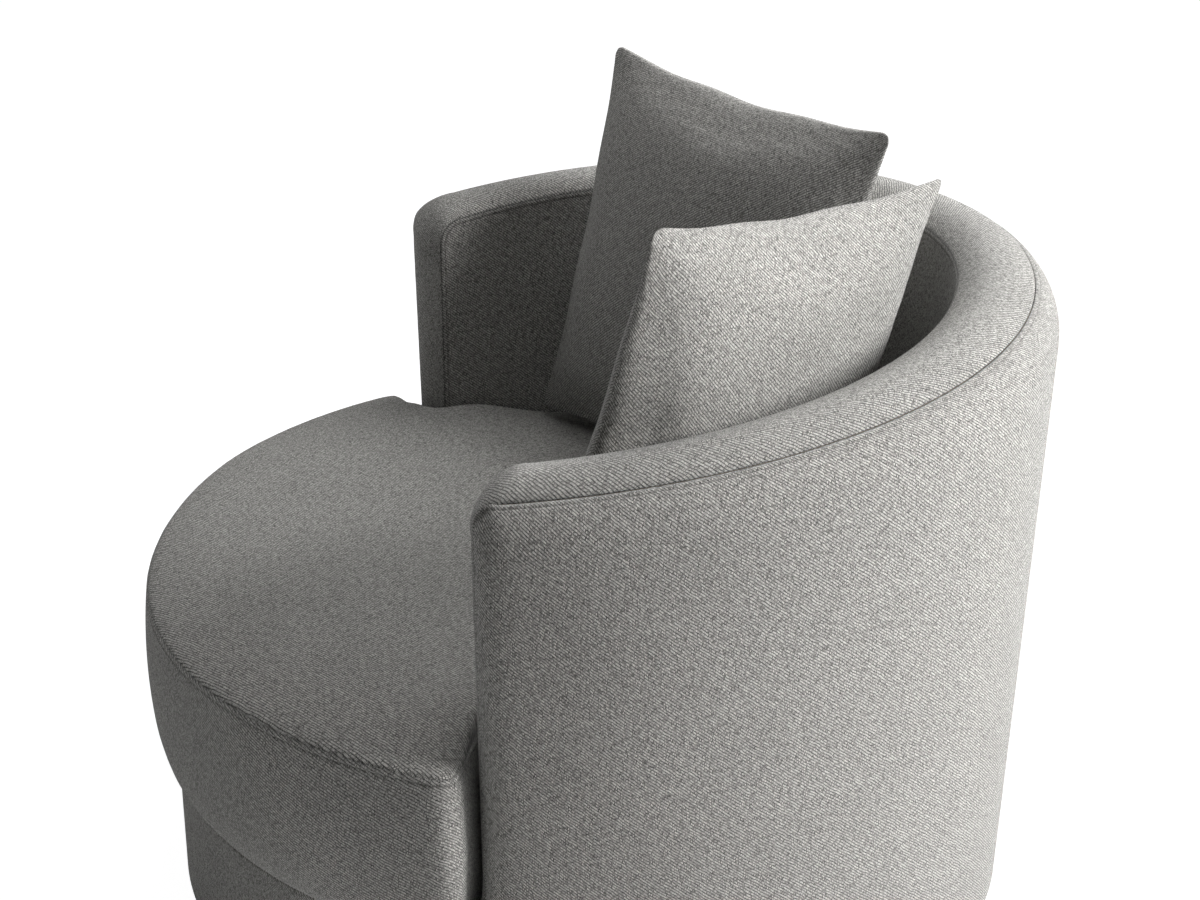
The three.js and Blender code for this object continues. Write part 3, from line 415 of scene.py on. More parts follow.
def wave_run(radius, turn, edge, height):
    """Measure along a wall sheet by which its small waves are laid"""
    blend = 0.1
    return turn * radius + np.minimum(1, edge / blend) * height


def bump_at(distance, width):
    """A smooth bump that is one at no distance"""
    return np.exp(-((distance / width) ** 2))


def seam_relief(seams, edge, run, stitched=True):
    """Height of the cloth's surface beside a seam"""
    crease_power = 1.3
    relief = -seams.crease_depth * np.exp(-((edge / seams.crease_width) ** crease_power))
    fade = np.exp(-edge / seams.pucker_reach) * (1 - np.exp(-edge / seams.crease_width))
    relief = relief + seams.pucker_height * waves(run) * fade
    if stitched:
        line = SEAM_STEPS[STITCH_ROW]
        relief -= seams.groove_depth * bump_at(edge - line, seams.groove_width)
        relief += seams.ridge_height * bump_at(edge - line / 2, line / 4)
    return relief


def seam_shade(edge, seam, stitches=0.0):
    """How much painted shade darkens the cloth's colour beside a seam and its row of stitches"""
    seam_width = 1.7 * MILLIMETRE
    stitch_width = 1.1 * MILLIMETRE
    stitch_distance = edge - SEAM_STEPS[STITCH_ROW]
    return seam * bump_at(edge, seam_width) + stitches * bump_at(stitch_distance, stitch_width)


# Making of meshes
def grid_faces(rows, columns, closed=False):
    """Four-sided faces of a grid, and the places of their corners in an unrolled grid"""
    across = columns if closed else columns - 1
    row, column = np.indices((rows - 1, across)).reshape(2, -1)

    def squares(width, following):
        return np.stack(
            [row * width + column, row * width + following,
             (row + 1) * width + following, (row + 1) * width + column], axis=1
        )

    return squares(columns, (column + 1) % columns), squares(columns + closed, column + 1)


def add_object(name, data):
    """Puts an object made of the data into the scene"""
    made = bpy.data.objects.new(name, data)
    bpy.context.scene.collection.objects.link(made)
    return made


def make_mesh(name, points, faces, weave=None, crease=None):
    """A smooth mesh at the origin, with its weave laid out in metres and the painted shade beside its
    seams stored
    """
    mesh = bpy.data.meshes.new(name)
    mesh.from_pydata(points.tolist(), [], [list(face) for face in faces])
    if weave is not None:
        layer = mesh.uv_layers.new(name="weave")
        layer.data.foreach_set("uv", np.asarray(weave, dtype=np.float32).ravel())
    # The painted shade beside the seams, kept on the points for the tweed's base colour
    if crease is not None:
        marks = mesh.attributes.new("crease", "FLOAT", "POINT")
        marks.data.foreach_set("value", np.asarray(crease, dtype=np.float32).ravel())
    mesh.shade_smooth()
    mesh.update()
    return add_object(name, mesh)


def make_sheet(name, points, weave, crease=None, inward=False):
    """A sheet of cloth from a grid of points"""
    faces, corners = grid_faces(*points.shape[:2])
    if inward:
        faces, corners = faces[:, ::-1], corners[:, ::-1]
    laid = weave.reshape(-1, 2)[corners]
    return make_mesh(name, points.reshape(-1, 3), faces, laid, crease)


def thicken(piece, thickness):
    """Gives a sheet its thickness inwards"""
    solid = piece.modifiers.new("Cloth thickness", "SOLIDIFY")
    solid.thickness = thickness
    solid.offset = -1
    solid.use_rim = True


def dress(piece, finish, body, slot_name, *nodes):
    """Gives a finished piece its material and its body, and hides the nodes that it stands for"""
    piece.data.materials.clear()
    piece.data.materials.append(finish)
    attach(piece, body)
    if nodes:
        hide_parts(*nodes)


def material(name):
    """A finish that is made already"""
    found = bpy.data.materials.get(name)
    if found is None:
        raise RuntimeError(f"the material {name} isn't made yet")
    return found


def mesh_points(piece):
    """Points of a piece's mesh, one in each row"""
    points = np.empty(3 * len(piece.data.vertices), dtype=np.float32)
    piece.data.vertices.foreach_get("co", points)
    return points.reshape(-1, 3).astype(float)


def set_points(piece, points):
    """Puts a piece's points in new places"""
    piece.data.vertices.foreach_set("co", points.astype(np.float32).ravel())
    piece.data.update()


def modified_mesh(piece):
    """A new mesh of a piece with its modifiers applied"""
    depsgraph = bpy.context.evaluated_depsgraph_get()
    return bpy.data.meshes.new_from_object(piece.evaluated_get(depsgraph))


def relax(proxy, growth):
    """Lets a closed mesh settle as cloth under a little pressure"""
    frames = 16
    cloth = proxy.modifiers.new("Cloth", "CLOTH")
    given = {
        "quality": 5,
        "mass": 0.2,
        "bending_stiffness": 0.4,
        "use_pressure": True,
        "uniform_pressure_force": 4,
        "vertex_group_shrink": "seams",
        "shrink_min": -growth,
        "shrink_max": 0,
    }
    for setting, value in given.items():
        setattr(cloth.settings, setting, value)
    cloth.settings.effector_weights.gravity = 0
    cloth.collision_settings.use_collision = False
    for moment in range(1, frames + 1):
        bpy.context.scene.frame_set(moment)
    after = modified_mesh(proxy)
    proxy.modifiers.clear()
    proxy.data = after


def carried(points, start, moves, reach):
    """Points moved with their neighbours at the start, of which the nearest weigh most"""
    neighbours = 14
    tree = KDTree(len(start))
    for place, point in enumerate(start):
        tree.insert(point, place)
    tree.balance()
    moved = points.copy()
    for place, point in enumerate(points):
        near = tree.find_n(point, neighbours)
        weights = np.array([math.exp(-((found[2] / reach) ** 2)) for found in near])
        weights = weights + LEAST_DISTANCE
        picked = moves[[found[1] for found in near]]
        moved[place] += (weights[:, None] * picked).sum(axis=0) / weights.sum()
    return moved


def settled(piece, voxel, growth, reach, seam_share):
    """Points of a filled piece after its cloth relaxes under pressure

    The cloth is a little larger than its shape except at the seams, so it puckers beside them.
    No point moves further than the reach.
    """
    points = mesh_points(piece)
    proxy = add_object("settling", piece.data.copy())
    remesh = proxy.modifiers.new("Remesh", "REMESH")
    remesh.mode = "VOXEL"
    remesh.voxel_size = voxel
    even = modified_mesh(proxy)
    proxy.modifiers.clear()
    proxy.data = even
    start = mesh_points(proxy)
    group = proxy.vertex_groups.new(name="seams")
    for place, weight in enumerate(seam_share(start)):
        group.add([place], float(weight), "REPLACE")
    relax(proxy, growth)
    moves = mesh_points(proxy) - start
    bpy.data.objects.remove(proxy)
    bpy.context.scene.frame_set(1)
    travel = np.maximum(np.linalg.norm(moves, axis=1, keepdims=True), LEAST_DISTANCE)
    moves *= reach * np.tanh(travel / reach) / travel
    return carried(points, start, moves, voxel)


# Shaders
class Wire:
    """A shader value that adds a Math node when it is used in a sum"""

    def __init__(self, shader, socket):
        self.shader = shader
        self.socket = socket

    def math(self, operation, first, second=0.0):
        return self.shader.node("ShaderNodeMath", {"operation": operation}, {0: first, 1: second})

    def __add__(self, other):
        return self.math("ADD", self, other)

    def __radd__(self, other):
        return self.math("ADD", other, self)

    def __sub__(self, other):
        return self.math("SUBTRACT", self, other)

    def __rsub__(self, other):
        return self.math("SUBTRACT", other, self)

    def __mul__(self, other):
        return self.math("MULTIPLY", self, other)

    def __rmul__(self, other):
        return self.math("MULTIPLY", other, self)

    def __truediv__(self, other):
        return self.math("DIVIDE", self, other)

    def __mod__(self, other):
        return self.math("FLOORED_MODULO", self, other)

    def __pow__(self, other):
        return self.math("POWER", self, other)

    def __abs__(self):
        return self.math("ABSOLUTE", self)

    def floor(self):
        return self.math("FLOOR", self)

    def fraction(self):
        return self.math("FRACT", self)

    def sine(self):
        return self.math("SINE", self)

    def above(self, other):
        return self.math("GREATER_THAN", self, other)

    def most(self, other):
        return self.math("MAXIMUM", self, other)

    def clamp(self):
        return self.shader.node("ShaderNodeClamp", {}, {"Value": self})

    def out(self, name):
        return Wire(self.shader, self.socket.node.outputs[name])


class NodeTree:
    """Adds and joins the nodes of a tree"""

    def __init__(self, tree):
        self.tree = tree
        tree.nodes.clear()

    def node(self, kind, settings=None, sockets=None):
        made = self.tree.nodes.new(kind)
        for key, value in (settings or {}).items():
            setattr(made, key, value)
        for key, value in (sockets or {}).items():
            self.join(made.inputs[key], value)
        return Wire(self, made.outputs[0]) if made.outputs else made

    def join(self, socket, value):
        if isinstance(value, Wire):
            self.tree.links.new(value.socket, socket)
        elif socket.type == "RGBA" and len(value) == 3:
            socket.default_value = (*value, 1)
        else:
            socket.default_value = value

    def vector(self, x, y, z=0.0):
        return self.node("ShaderNodeCombineXYZ", {}, {"X": x, "Y": y, "Z": z})

    def seen(self):
        """One for what the camera sees, itself or through a mirror or glass"""
        rays = self.node("ShaderNodeLightPath")
        first = rays.out("Is Camera Ray").most(rays.out("Is Glossy Ray"))
        return first.most(rays.out("Is Transmission Ray"))


class Shader(NodeTree):
    """Builds one material's nodes"""

    def __init__(self, name):
        self.material = bpy.data.materials.new(name)
        self.material.use_nodes = True
        super().__init__(self.material.node_tree)

    def place(self):
        """Object coordinates, in metres"""
        return self.node("ShaderNodeTexCoord").out("Object")

    def weave(self):
        """The cloth's own lengthways and crossways coordinates, in metres"""
        laid = self.node("ShaderNodeUVMap", {"uv_map": "weave"})
        parts = self.node("ShaderNodeSeparateXYZ", {}, {0: laid})
        return laid, parts.out("X"), parts.out("Y")

    def noise(self, vector, scale, detail=2.0, roughness=0.5, dimensions="3D"):
        return self.node(
            "ShaderNodeTexNoise",
            {"noise_dimensions": dimensions},
            {"Vector": vector, "Scale": scale, "Detail": detail, "Roughness": roughness},
        )

    def grain(self, first, second):
        """A random tone for each pair of whole numbers"""
        pair = self.vector(first, second)
        return self.node("ShaderNodeTexWhiteNoise", {"noise_dimensions": "2D"}, {"Vector": pair})

    def mix(self, factor, first, second):
        made = self.node("ShaderNodeMix", {"data_type": "RGBA"})
        inputs = made.socket.node.inputs
        for place, value in ((0, factor), (6, first), (7, second)):
            self.join(inputs[place], value)
        return Wire(self, made.socket.node.outputs[2])

    def scaled(self, tone, factor):
        """A colour made lighter or darker"""
        return self.node(
            "ShaderNodeVectorMath", {"operation": "SCALE"}, {0: tone, "Scale": factor}
        )

    def bump(self, height, distance, strength=1.0):
        """A surface's normal under a relief"""
        sockets = {"Height": height, "Distance": distance, "Strength": strength}
        return self.node("ShaderNodeBump", {}, sockets)

    def finish(self, **sockets):
        """The finished material, with the surface's sockets given by name"""
        surface = self.node("ShaderNodeBsdfPrincipled")
        inputs = surface.socket.node.inputs
        for key, value in sockets.items():
            self.join(inputs[key.replace("_", " ")], value)
        self.node("ShaderNodeOutputMaterial", {}, {"Surface": surface})
        return self.material


def yarn_height(yarn, floating, base, swell):
    """Height of a yarn across its width, more where it floats over the others"""
    middle = (yarn.fraction() * math.pi).sine()
    return middle * (base + swell * abs((floating * math.pi).sine()))


def yarn_streaks(shader, place):
    """Streaks along the yarns, at places that are counted in streaks"""
    return shader.noise(place, 1.0, 2.0, 0.6, "2D")


def make_tweed(look):
    """Heathered twill: rows of light bumps over gaps darkened by painted shade, each yarn with its
    own streaks, and painted shade beside the seams
    """
    repeat = 4.0
    drift_scale, drift_share = 60.0, 1.6
    streaks_to_metre = 160.0
    warp_spread, weft_spread, weft_shift = 0.731, 0.617, 40.0
    streak_share, grain_share, cloud_share, middle_tone = 1.8, 0.7, 0.35, 0.57
    shade_power, shade_gain = 1.4, 2.1
    # The last share is how strongly the painted seam shade darkens the base colour
    patch_low, patch_share, seam_shade_share = 0.94, 0.12, 0.8
    bump_distance, bump_strength, fluff_share = 0.00045, 0.75, 0.3

    shader = Shader("Tweed")
    laid, along, across = shader.weave()
    drift = shader.noise(laid, drift_scale, 1.0, dimensions="2D") - 0.5
    warp = along / look.warp_pitch + drift * drift_share
    weft = across / look.weft_pitch - drift * drift_share
    warp_place, weft_place = warp.floor(), weft.floor()
    warp_float = ((warp_place - weft) % repeat) / 2.0
    weft_float = ((warp - weft_place + 1.0) % repeat) / 2.0
    over = ((warp_place - weft_place) % repeat).above(1.5)
    warp_height = yarn_height(warp, warp_float, 0.45, 0.55)
    weft_height = yarn_height(weft, weft_float, 0.13, 0.31)
    height = weft_height + over * (warp_height - weft_height)
    warp_streaks = shader.vector(warp_place * warp_spread, across * streaks_to_metre)
    weft_streaks = shader.vector(along * streaks_to_metre, weft_place * weft_spread + weft_shift)
    warp_tone = yarn_streaks(shader, warp_streaks)
    weft_tone = yarn_streaks(shader, weft_streaks)
    streak = weft_tone + over * (warp_tone - weft_tone)
    warp_grain = shader.grain(warp_place, ((warp_place - weft) / repeat).floor())
    weft_grain = shader.grain(weft_place + 0.5, ((warp - weft_place) / repeat).floor())
    grain = weft_grain + over * (warp_grain - weft_grain)
    cloud = shader.noise(laid, 130.0, 2.0, 0.6, "2D")
    tone = (streak - 0.5) * streak_share + (grain - 0.5) * grain_share
    tone = tone + (cloud - 0.5) * cloud_share + middle_tone
    yarn = shader.mix(tone.clamp(), tuple(look.dark_yarn), tuple(look.light_yarn))
    # Painted shade: the base colour darkens from the yarns' tops down into the gaps between them
    lit = (1 - look.pit_shade) * height**shade_power * shade_gain
    shade = (look.pit_shade + lit).clamp()
    patch = shader.noise(laid, 9.0, 2.0, 0.5, "2D")
    # Painted shade: the shade stored beside the seams darkens the base colour
    crease = shader.node("ShaderNodeAttribute", {"attribute_name": "crease"}).out("Fac")
    uneven = shade * (patch_low + patch * patch_share)
    tint = shader.scaled(yarn, uneven * (1.0 - crease * seam_shade_share))
    lofty = height + tone * fluff_share
    return shader.finish(
        Base_Color=tint, Roughness=0.92,
        Normal=shader.bump(lofty, bump_distance, bump_strength), Specular_IOR_Level=0.25,
        Sheen_Weight=0.12, Sheen_Roughness=0.6,
    )


def make_thread(look):
    """Sewing thread with its twist"""
    shader = Shader("Thread")
    place = shader.place()
    fleck = shader.noise(place, 900.0, 1.0)
    tint = shader.scaled(tuple(look.thread), 0.7 + fleck * 0.7)
    return shader.finish(Base_Color=tint, Roughness=0.7, Normal=shader.bump(fleck, 0.0002))


def make_felt(look):
    """Spun-bonded lining cloth with fine fibres and a cloudy tone"""
    shader = Shader("Felt")
    place = shader.place()
    fibre = shader.noise(place, 620.0, 4.0, 0.7)
    cloud = shader.noise(place, 35.0, 2.0)
    tint = shader.scaled(tuple(look.felt), 0.6 + fibre * 0.9 + cloud * 0.4)
    return shader.finish(Base_Color=tint, Roughness=0.95, Normal=shader.bump(fibre, 0.0003))


def make_timber(look):
    """Plywood and softwood with long grain"""
    shader = Shader("Timber")
    place = shader.place()
    stretched = shader.node(
        "ShaderNodeVectorMath", {"operation": "MULTIPLY"}, {0: place, 1: (14.0, 160.0, 160.0)}
    )
    grain = shader.noise(stretched, 1.0, 4.0, 0.6)
    cloud = shader.noise(place, 7.0, 2.0)
    light = (grain * 1.3 - 0.25 + cloud * 0.3).clamp()
    tint = shader.mix(light, tuple(look.timber_dark), tuple(look.timber_light))
    roughness = 0.55 + grain * 0.2
    return shader.finish(Base_Color=tint, Roughness=roughness, Normal=shader.bump(grain, 0.0003))


def make_steel(look):
    """Plated steel with fine rolling marks"""
    shader = Shader("Steel")
    place = shader.place()
    marks = shader.noise(place, 260.0, 3.0, 0.6)
    tint = shader.scaled(tuple(look.steel), 0.85 + marks * 0.3)
    return shader.finish(
        Base_Color=tint, Metallic=0.95, Roughness=0.28 + marks * 0.22,
        Normal=shader.bump(marks, 0.0001, 0.4),
    )


def make_nylon(look):
    """Moulded nylon"""
    shader = Shader("Nylon")
    place = shader.place()
    grain = shader.noise(place, 700.0, 2.0)
    tint = shader.scaled(tuple(look.nylon), 0.8 + grain * 0.5)
    normal = shader.bump(grain, 0.0001)
    return shader.finish(Base_Color=tint, Roughness=0.42 + grain * 0.15, Normal=normal)


def make_foam(look):
    """Open-celled upholstery foam"""
    shader = Shader("Foam")
    place = shader.place()
    cells = shader.node("ShaderNodeTexVoronoi", {}, {"Vector": place, "Scale": 420.0})
    tint = shader.scaled(tuple(look.foam), 0.75 + cells * 0.5)
    return shader.finish(Base_Color=tint, Roughness=0.9, Normal=shader.bump(cells, 0.0006))


# Plan of the seat cushion
def even_loop(points, step):
    """Points spread evenly along a closed loop, with what is carried in further columns"""
    loop = np.concatenate([points, points[:1]])
    run = np.concatenate([[0], np.cumsum(np.linalg.norm(np.diff(loop[:, :2], axis=0), axis=1))])
    places = np.linspace(0, run[-1], round(run[-1] / step) + 1)[:-1]
    return np.stack([np.interp(places, run, column) for column in loop.T], axis=1)


def soften(values, reach, step):
    """Rounds the corners of a closed loop"""
    count = len(values)
    offsets = (np.arange(count) + count // 2) % count - count // 2
    weights = np.exp(-0.5 * (offsets * step / reach) ** 2)
    blur = np.fft.fft(weights / weights.sum())
    return np.fft.ifft(np.fft.fft(values, axis=0) * blur[:, None], axis=0).real


def cushion_plan(wall, cushion):
    """Outline of the cushion: x, y, its side's share of swelling and its top's quick rise"""
    back_points, front_points = 241, 301
    back_swell_share, front_swell_share = 0.12, 1.0
    fine_step = 2 * MILLIMETRE
    end = wall.arm_end_angle
    clear = cushion.ear_clearance

    def ear(reach):
        x = reach * math.sin(end) + clear * math.cos(end)
        y = reach * math.cos(end) - clear * math.sin(end)
        return x, y

    inner = math.sqrt(cushion.back_radius**2 - clear**2)
    half = math.cos(end) * cushion.rim_centre
    drop = 2 * clear * math.sin(end) * cushion.rim_centre
    rest = clear**2 + drop + cushion.rim_centre**2 - cushion.rim_radius**2
    outer = half + math.sqrt(half**2 - rest)
    first = math.atan2(*ear(inner))
    turns = np.linspace(-first, first, back_points)
    back = polar(cushion.back_radius, turns, back_swell_share)
    corner = ear(outer)
    start = math.atan2(corner[0], corner[1] - cushion.rim_centre)
    turns = np.linspace(start, 2 * math.pi - start, front_points)
    front = polar(cushion.rim_radius, turns, front_swell_share)
    front[:, 1] += cushion.rim_centre
    even = even_loop(np.concatenate([back, front]), fine_step)
    plan = even_loop(soften(even, cushion.corner_rounding, fine_step), cushion.cloth_step)
    foot = polar(cushion.back_radius, end, 0)
    away = np.hypot(np.abs(plan[:, 0]) - foot[0], plan[:, 1] - foot[1])
    behind = smooth_step(0.5 + (plan[:, 1] - foot[1]) / cushion.back_reach)
    reach = cushion.front_reach + (cushion.back_reach - cushion.front_reach) * behind
    level = cushion.open_rise + (cushion.wall_rise - cushion.open_rise) * behind
    return np.column_stack([plan, level + cushion.foot_rise * bump_at(away, reach)])


def loop_normals(plan):
    """Unit normals of a closed loop, pointing out"""
    run = np.roll(plan[:, :2], -1, axis=0) - np.roll(plan[:, :2], 1, axis=0)
    out = np.stack([-run[:, 1], run[:, 0]], axis=1)
    return out / np.linalg.norm(out, axis=1, keepdims=True)


def rim_field(points, rim):
    """Smooth distance of points on plan from the rim, and what the rim carries blended there"""
    batch = 2000
    least_square = 1e-8
    flat = points.reshape(-1, 2)
    step = np.linalg.norm(np.roll(rim[:, :2], -1, axis=0) - rim[:, :2], axis=1)
    field = np.zeros((rim.shape[1] - 1, len(flat)))
    for first in range(0, len(flat), batch):
        here = slice(first, first + batch)
        away = ((flat[here, None, :] - rim[None, :, :2]) ** 2).sum(axis=2)
        weight = step / np.maximum(away, least_square) ** 2
        total = weight.sum(axis=1)
        field[0, here] = (total / QUARTER_TURN) ** (-1 / 3)
        field[1:, here] = (weight @ rim[:, 2:]).T / total
    return field.reshape(-1, *points.shape[:-1])


def crown_rise(cushion, distance, quick_rise):
    """Height of the top above the rim seam at a distance from it"""
    tightening = 0.75
    near_wall = smooth_step((quick_rise - cushion.open_rise) / cushion.wall_rise)
    reach = cushion.edge_reach * (1 - tightening * near_wall)
    steep = 1 - np.exp(-distance / reach)
    gentle = 1 - np.exp(-distance / cushion.crown_reach)
    return quick_rise * steep + (cushion.crown_height - quick_rise) * gentle


def far_lift(cushion, place):
    """How much higher the cushion stands at points on plan, towards the far ear"""
    across = smooth_step(-place[..., 0] / cushion.lift_width)
    ahead = smooth_step(-place[..., 1] / cushion.lift_depth)
    return cushion.far_lift * across * ahead


def side_swell(drop):
    """Share of the side's swelling at a share of its drop"""
    swell_share, swell_end, swell_power = 0.25, 0.8, 0.8
    draw_start, draw_width, draw_power = 0.66, 0.34, 3.4
    swelling = np.sin(math.pi * np.minimum(drop, swell_end) / swell_end)
    drawing = np.clip((drop - draw_start) / draw_width, 0, 1)
    return swell_share * swelling**swell_power - drawing**draw_power


# Rows of the seat cushion
def top_row(cushion, place, distance, quick_rise):
    """A row of the top at points on plan"""
    rise = crown_rise(cushion, distance, quick_rise) + far_lift(cushion, place)
    return np.column_stack([place, cushion.rim_height + rise])


def cushion_top(cushion, plan, rim, near):
    """Rows of the top, from the middle out to the rim seam"""
    shares = np.linspace(0.012, 1, 42)[:-1] ** 0.75
    centre = np.array([0, -cushion.middle_offset])
    flat, out = plan[:, :2], loop_normals(plan)
    ring = flat - out * near[-1]
    rows = []
    for scale in shares:
        place = centre + (ring - centre) * scale
        distance, _, quick_rise = rim_field(place, rim)
        rows.append(top_row(cushion, place, distance, quick_rise))
    for distance in near[::-1]:
        rows.append(top_row(cushion, flat - out * distance, distance, plan[:, 3]))
    return rows


def side_drops(height):
    """Distances below the rim seam of the side's rows, close together at both seams"""
    last_steps = MILLIMETRE * np.array([8, 5, 3, 1.5, 0.4])
    middle = np.linspace(SEAM_STEPS[-1], height - last_steps[0], 17)[1:]
    return np.concatenate([SEAM_STEPS, middle, height - last_steps[1:]])


def cushion_side(cushion, plan, drops, height):
    """Rows of the side, from the rim seam down to the lower seam"""
    flat, room, out = plan[:, :2], plan[:, 2], loop_normals(plan)
    rows = []
    for drop in drops:
        swell = cushion.draw_in * room * side_swell(drop / height)
        place = flat + out * swell[:, None]
        lift = far_lift(cushion, flat) * (1 - drop / height)
        rows.append(np.column_stack([place, cushion.rim_height - drop + lift]))
    return rows


def cushion_underside(cushion, plan):
    """Rows of the underside, from the lower seam in to the middle"""
    shares = (0.999, 0.99, 0.975, 0.95, 0.9, 0.75, 0.5, 0.25, 0.02)
    centre = np.array([0, -cushion.middle_offset])
    lower = plan[:, :2] - loop_normals(plan) * (cushion.draw_in * plan[:, 2])[:, None]
    rows = []
    for scale in shares:
        place = centre + (lower - centre) * scale
        away = np.linalg.norm(place - lower, axis=1)
        lift = cushion.bottom_seam_height * np.exp(-away / (cushion.bottom_inset / 3))
        rows.append(np.column_stack([place, cushion.bottom_height + lift]))
    return rows


def cushion_weave(points, plan, faces, corners, sides):
    """Weave at the faces' corners: flat on the top and underside, and round the side"""
    flat = np.concatenate([plan[:, :2], plan[:1, :2]])
    run = np.concatenate([[0], np.cumsum(np.linalg.norm(np.diff(flat, axis=0), axis=1))])
    closed = np.concatenate([points, points[:, :1]], axis=1)
    laid = closed[..., :2].copy()
    fall = run_length(closed, 0)[sides]
    laid[sides] = np.stack([run + 0 * fall, -fall], axis=-1)
    weave = laid.reshape(-1, 2)[corners]
    row = faces[:, 0] // len(plan)
    at_rim = row == sides.start - 1
    weave[at_rim, 0] = weave[at_rim, 3]
    weave[at_rim, 1] = weave[at_rim, 2]
    at_foot = row == sides.stop - 1
    weave[at_foot, 3] = weave[at_foot, 0]
    weave[at_foot, 2] = weave[at_foot, 1]
    return weave


def cushion_caps(rows, count):
    """Three-sided faces that close the middle of the top and of the underside"""
    steps = np.arange(count)
    following = (steps + 1) % count
    last = (rows - 1) * count
    top_middle = np.full(count, rows * count)
    top = np.stack([following, steps, top_middle], axis=1)
    base = np.stack([last + steps, last + following, top_middle + 1], axis=1)
    return np.concatenate([top, base])


def cushion_seam_share(cushion, points, rim):
    """One at the two seams of the cushion and nothing away from them"""
    seam_share, seam_reach = 1.6, 16 * MILLIMETRE
    distance = rim_field(points[:, :2], rim)[0]
    rise = np.abs(points[:, 2] - cushion.rim_height - far_lift(cushion, points))
    low = np.abs(points[:, 2] - cushion.bottom_height)
    upper = np.hypot(distance, rise)
    lower = np.hypot(np.clip(distance - cushion.draw_in, 0, None), low)
    return np.clip(seam_share - np.minimum(upper, lower) / seam_reach, 0, 1)


# Operators
class CHAIR_OT_finishes(bpy.types.Operator):
    """Makes the cloth, thread, timber, steel, nylon, felt and foam finishes"""

    bl_idname = "chair.finishes"
    bl_label = "Finishes"

    def execute(self, context):
        look = sizes("finish_look")
        make_tweed(look)
        make_thread(look)
        by_slot = {
            "felt": make_felt(look),
            "timber": make_timber(look),
            "steel": make_steel(look),
            "nylon": make_nylon(look),
            "foam": make_foam(look),
        }
        for part in frame["record"]["subparts"]:
            finish = by_slot.get(part["material_slot"])
            if finish is not None:
                for slot in frame["nodes"][part["node"]].material_slots:
                    slot.link = "OBJECT"
                    slot.material = finish
        return {"FINISHED"}


def hem_profile(wall, radius, count):
    """Radii and heights round a cover's hem and in under it"""
    bend = np.linspace(0, QUARTER_TURN, count)[1:]
    radii = radius - HEM_ROUNDING * (1 - np.cos(bend))
    heights = wall.hem_height + HEM_ROUNDING * (1 - np.sin(bend))
    return np.append(radii, radius - HEM_TURN_IN), np.append(heights, wall.hem_height)


def stitch_path(points):
    """Points of a wall sheet's stitches: up one arm front, round the top and down the other"""
    above = points[STITCH_ROW:, STITCH_ROW][::-1]
    over = points[STITCH_ROW, STITCH_ROW:-STITCH_ROW]
    down = points[STITCH_ROW:, -1 - STITCH_ROW]
    path = np.concatenate([above, over[1:-1], down])
    return path.ravel().tolist()


class CHAIR_OT_outer_panel(bpy.types.Operator):
    """Stretches the outer panel over the barrel, rolled over its shoulder and turned in at the hem"""

    bl_idname = "chair.outer_panel"
    bl_label = "Outer panel"

    def execute(self, context):
        wall, seams = sizes("wall_sizes"), sizes("seam_sizes")
        points, edge, turn = wall_sheet(
            wall, wall.hem_height + HEM_ROUNDING, wall.corner_radius, wall.side_roll,
            lambda *at: shoulder_radius(wall, *at), lambda run: roll_depth(wall, run),
        )
        run = wave_run(wall.barrel_radius, turn, edge, points[..., 2])
        relief = seam_relief(seams, edge, run) * rounding_share(wall, points[..., 2])
        points = points + grid_normals(points) * relief[..., None]
        last = turn[-1]
        radii, heights = hem_profile(wall, wall.hem_radius, 5)
        hem = polar(radii[:, None] + 0 * last, last + 0 * radii[:, None], heights[:, None])
        points = np.concatenate([points, hem])
        # Painted shade in the seam and along the row of stitches
        crease = np.zeros(points.shape[:2])
        crease[:len(edge)] = seam_shade(edge, seams.outer_shade, seams.outer_stitch_shade)
        across = run_length(points[::-1], 0)[::-1]
        along = np.concatenate([turn, np.repeat(last[None], len(hem), axis=0)])
        weave = np.stack([along * wall.barrel_radius, across], axis=-1)
        piece = make_sheet("outer_panel", points, weave, crease)
        thicken(piece, wall.cloth_thickness)
        dress(piece, material("Tweed"), "chair_body", "fabric", "outer_cover")
        context.scene["outer_stitches"] = stitch_path(points)
        return {"FINISHED"}


class CHAIR_OT_inner_panel(bpy.types.Operator):
    """Stretches the inner panel over the foam inside the wall"""

    bl_idname = "chair.inner_panel"
    bl_label = "Inner panel"

    def execute(self, context):
        wall, seams = sizes("wall_sizes"), sizes("seam_sizes")
        points, edge, turn = wall_sheet(
            wall, wall.inner_foot, wall.inner_corner_radius, 1,
            lambda turn, height, edge: wall.inside_radius + 0 * edge, lambda run: run,
        )
        run = wave_run(wall.inside_radius, turn, edge, points[..., 2])
        relief = np.minimum(0, seam_relief(seams, edge, run))
        points = points - grid_normals(points) * relief[..., None]
        across = run_length(points[::-1], 0)[::-1]
        weave = np.stack([-turn * wall.inside_radius, across], axis=-1)
        # Painted shade in the seam and along the row of stitches
        crease = seam_shade(edge, seams.inner_shade, seams.inner_stitch_shade)
        piece = make_sheet("inner_panel", points, weave, crease, inward=True)
        thicken(piece, wall.cloth_thickness)
        dress(piece, material("Tweed"), "chair_body", "fabric", "inner_cover")
        context.scene["inner_stitches"] = stitch_path(points)
        return {"FINISHED"}


def band_shares(wall, width):
    """Shares of the band's width at which its lines run, close together beside the seams"""
    near_share, step_share = 0.3, 0.7
    near = SEAM_STEPS[SEAM_STEPS < near_share * width]
    count = round((width - 2 * near[-1]) / (step_share * wall.cloth_step))
    middle = np.linspace(near[-1], width - near[-1], count + 1)[1:-1]
    return np.concatenate([near, middle, (width - near)[::-1]]) / width


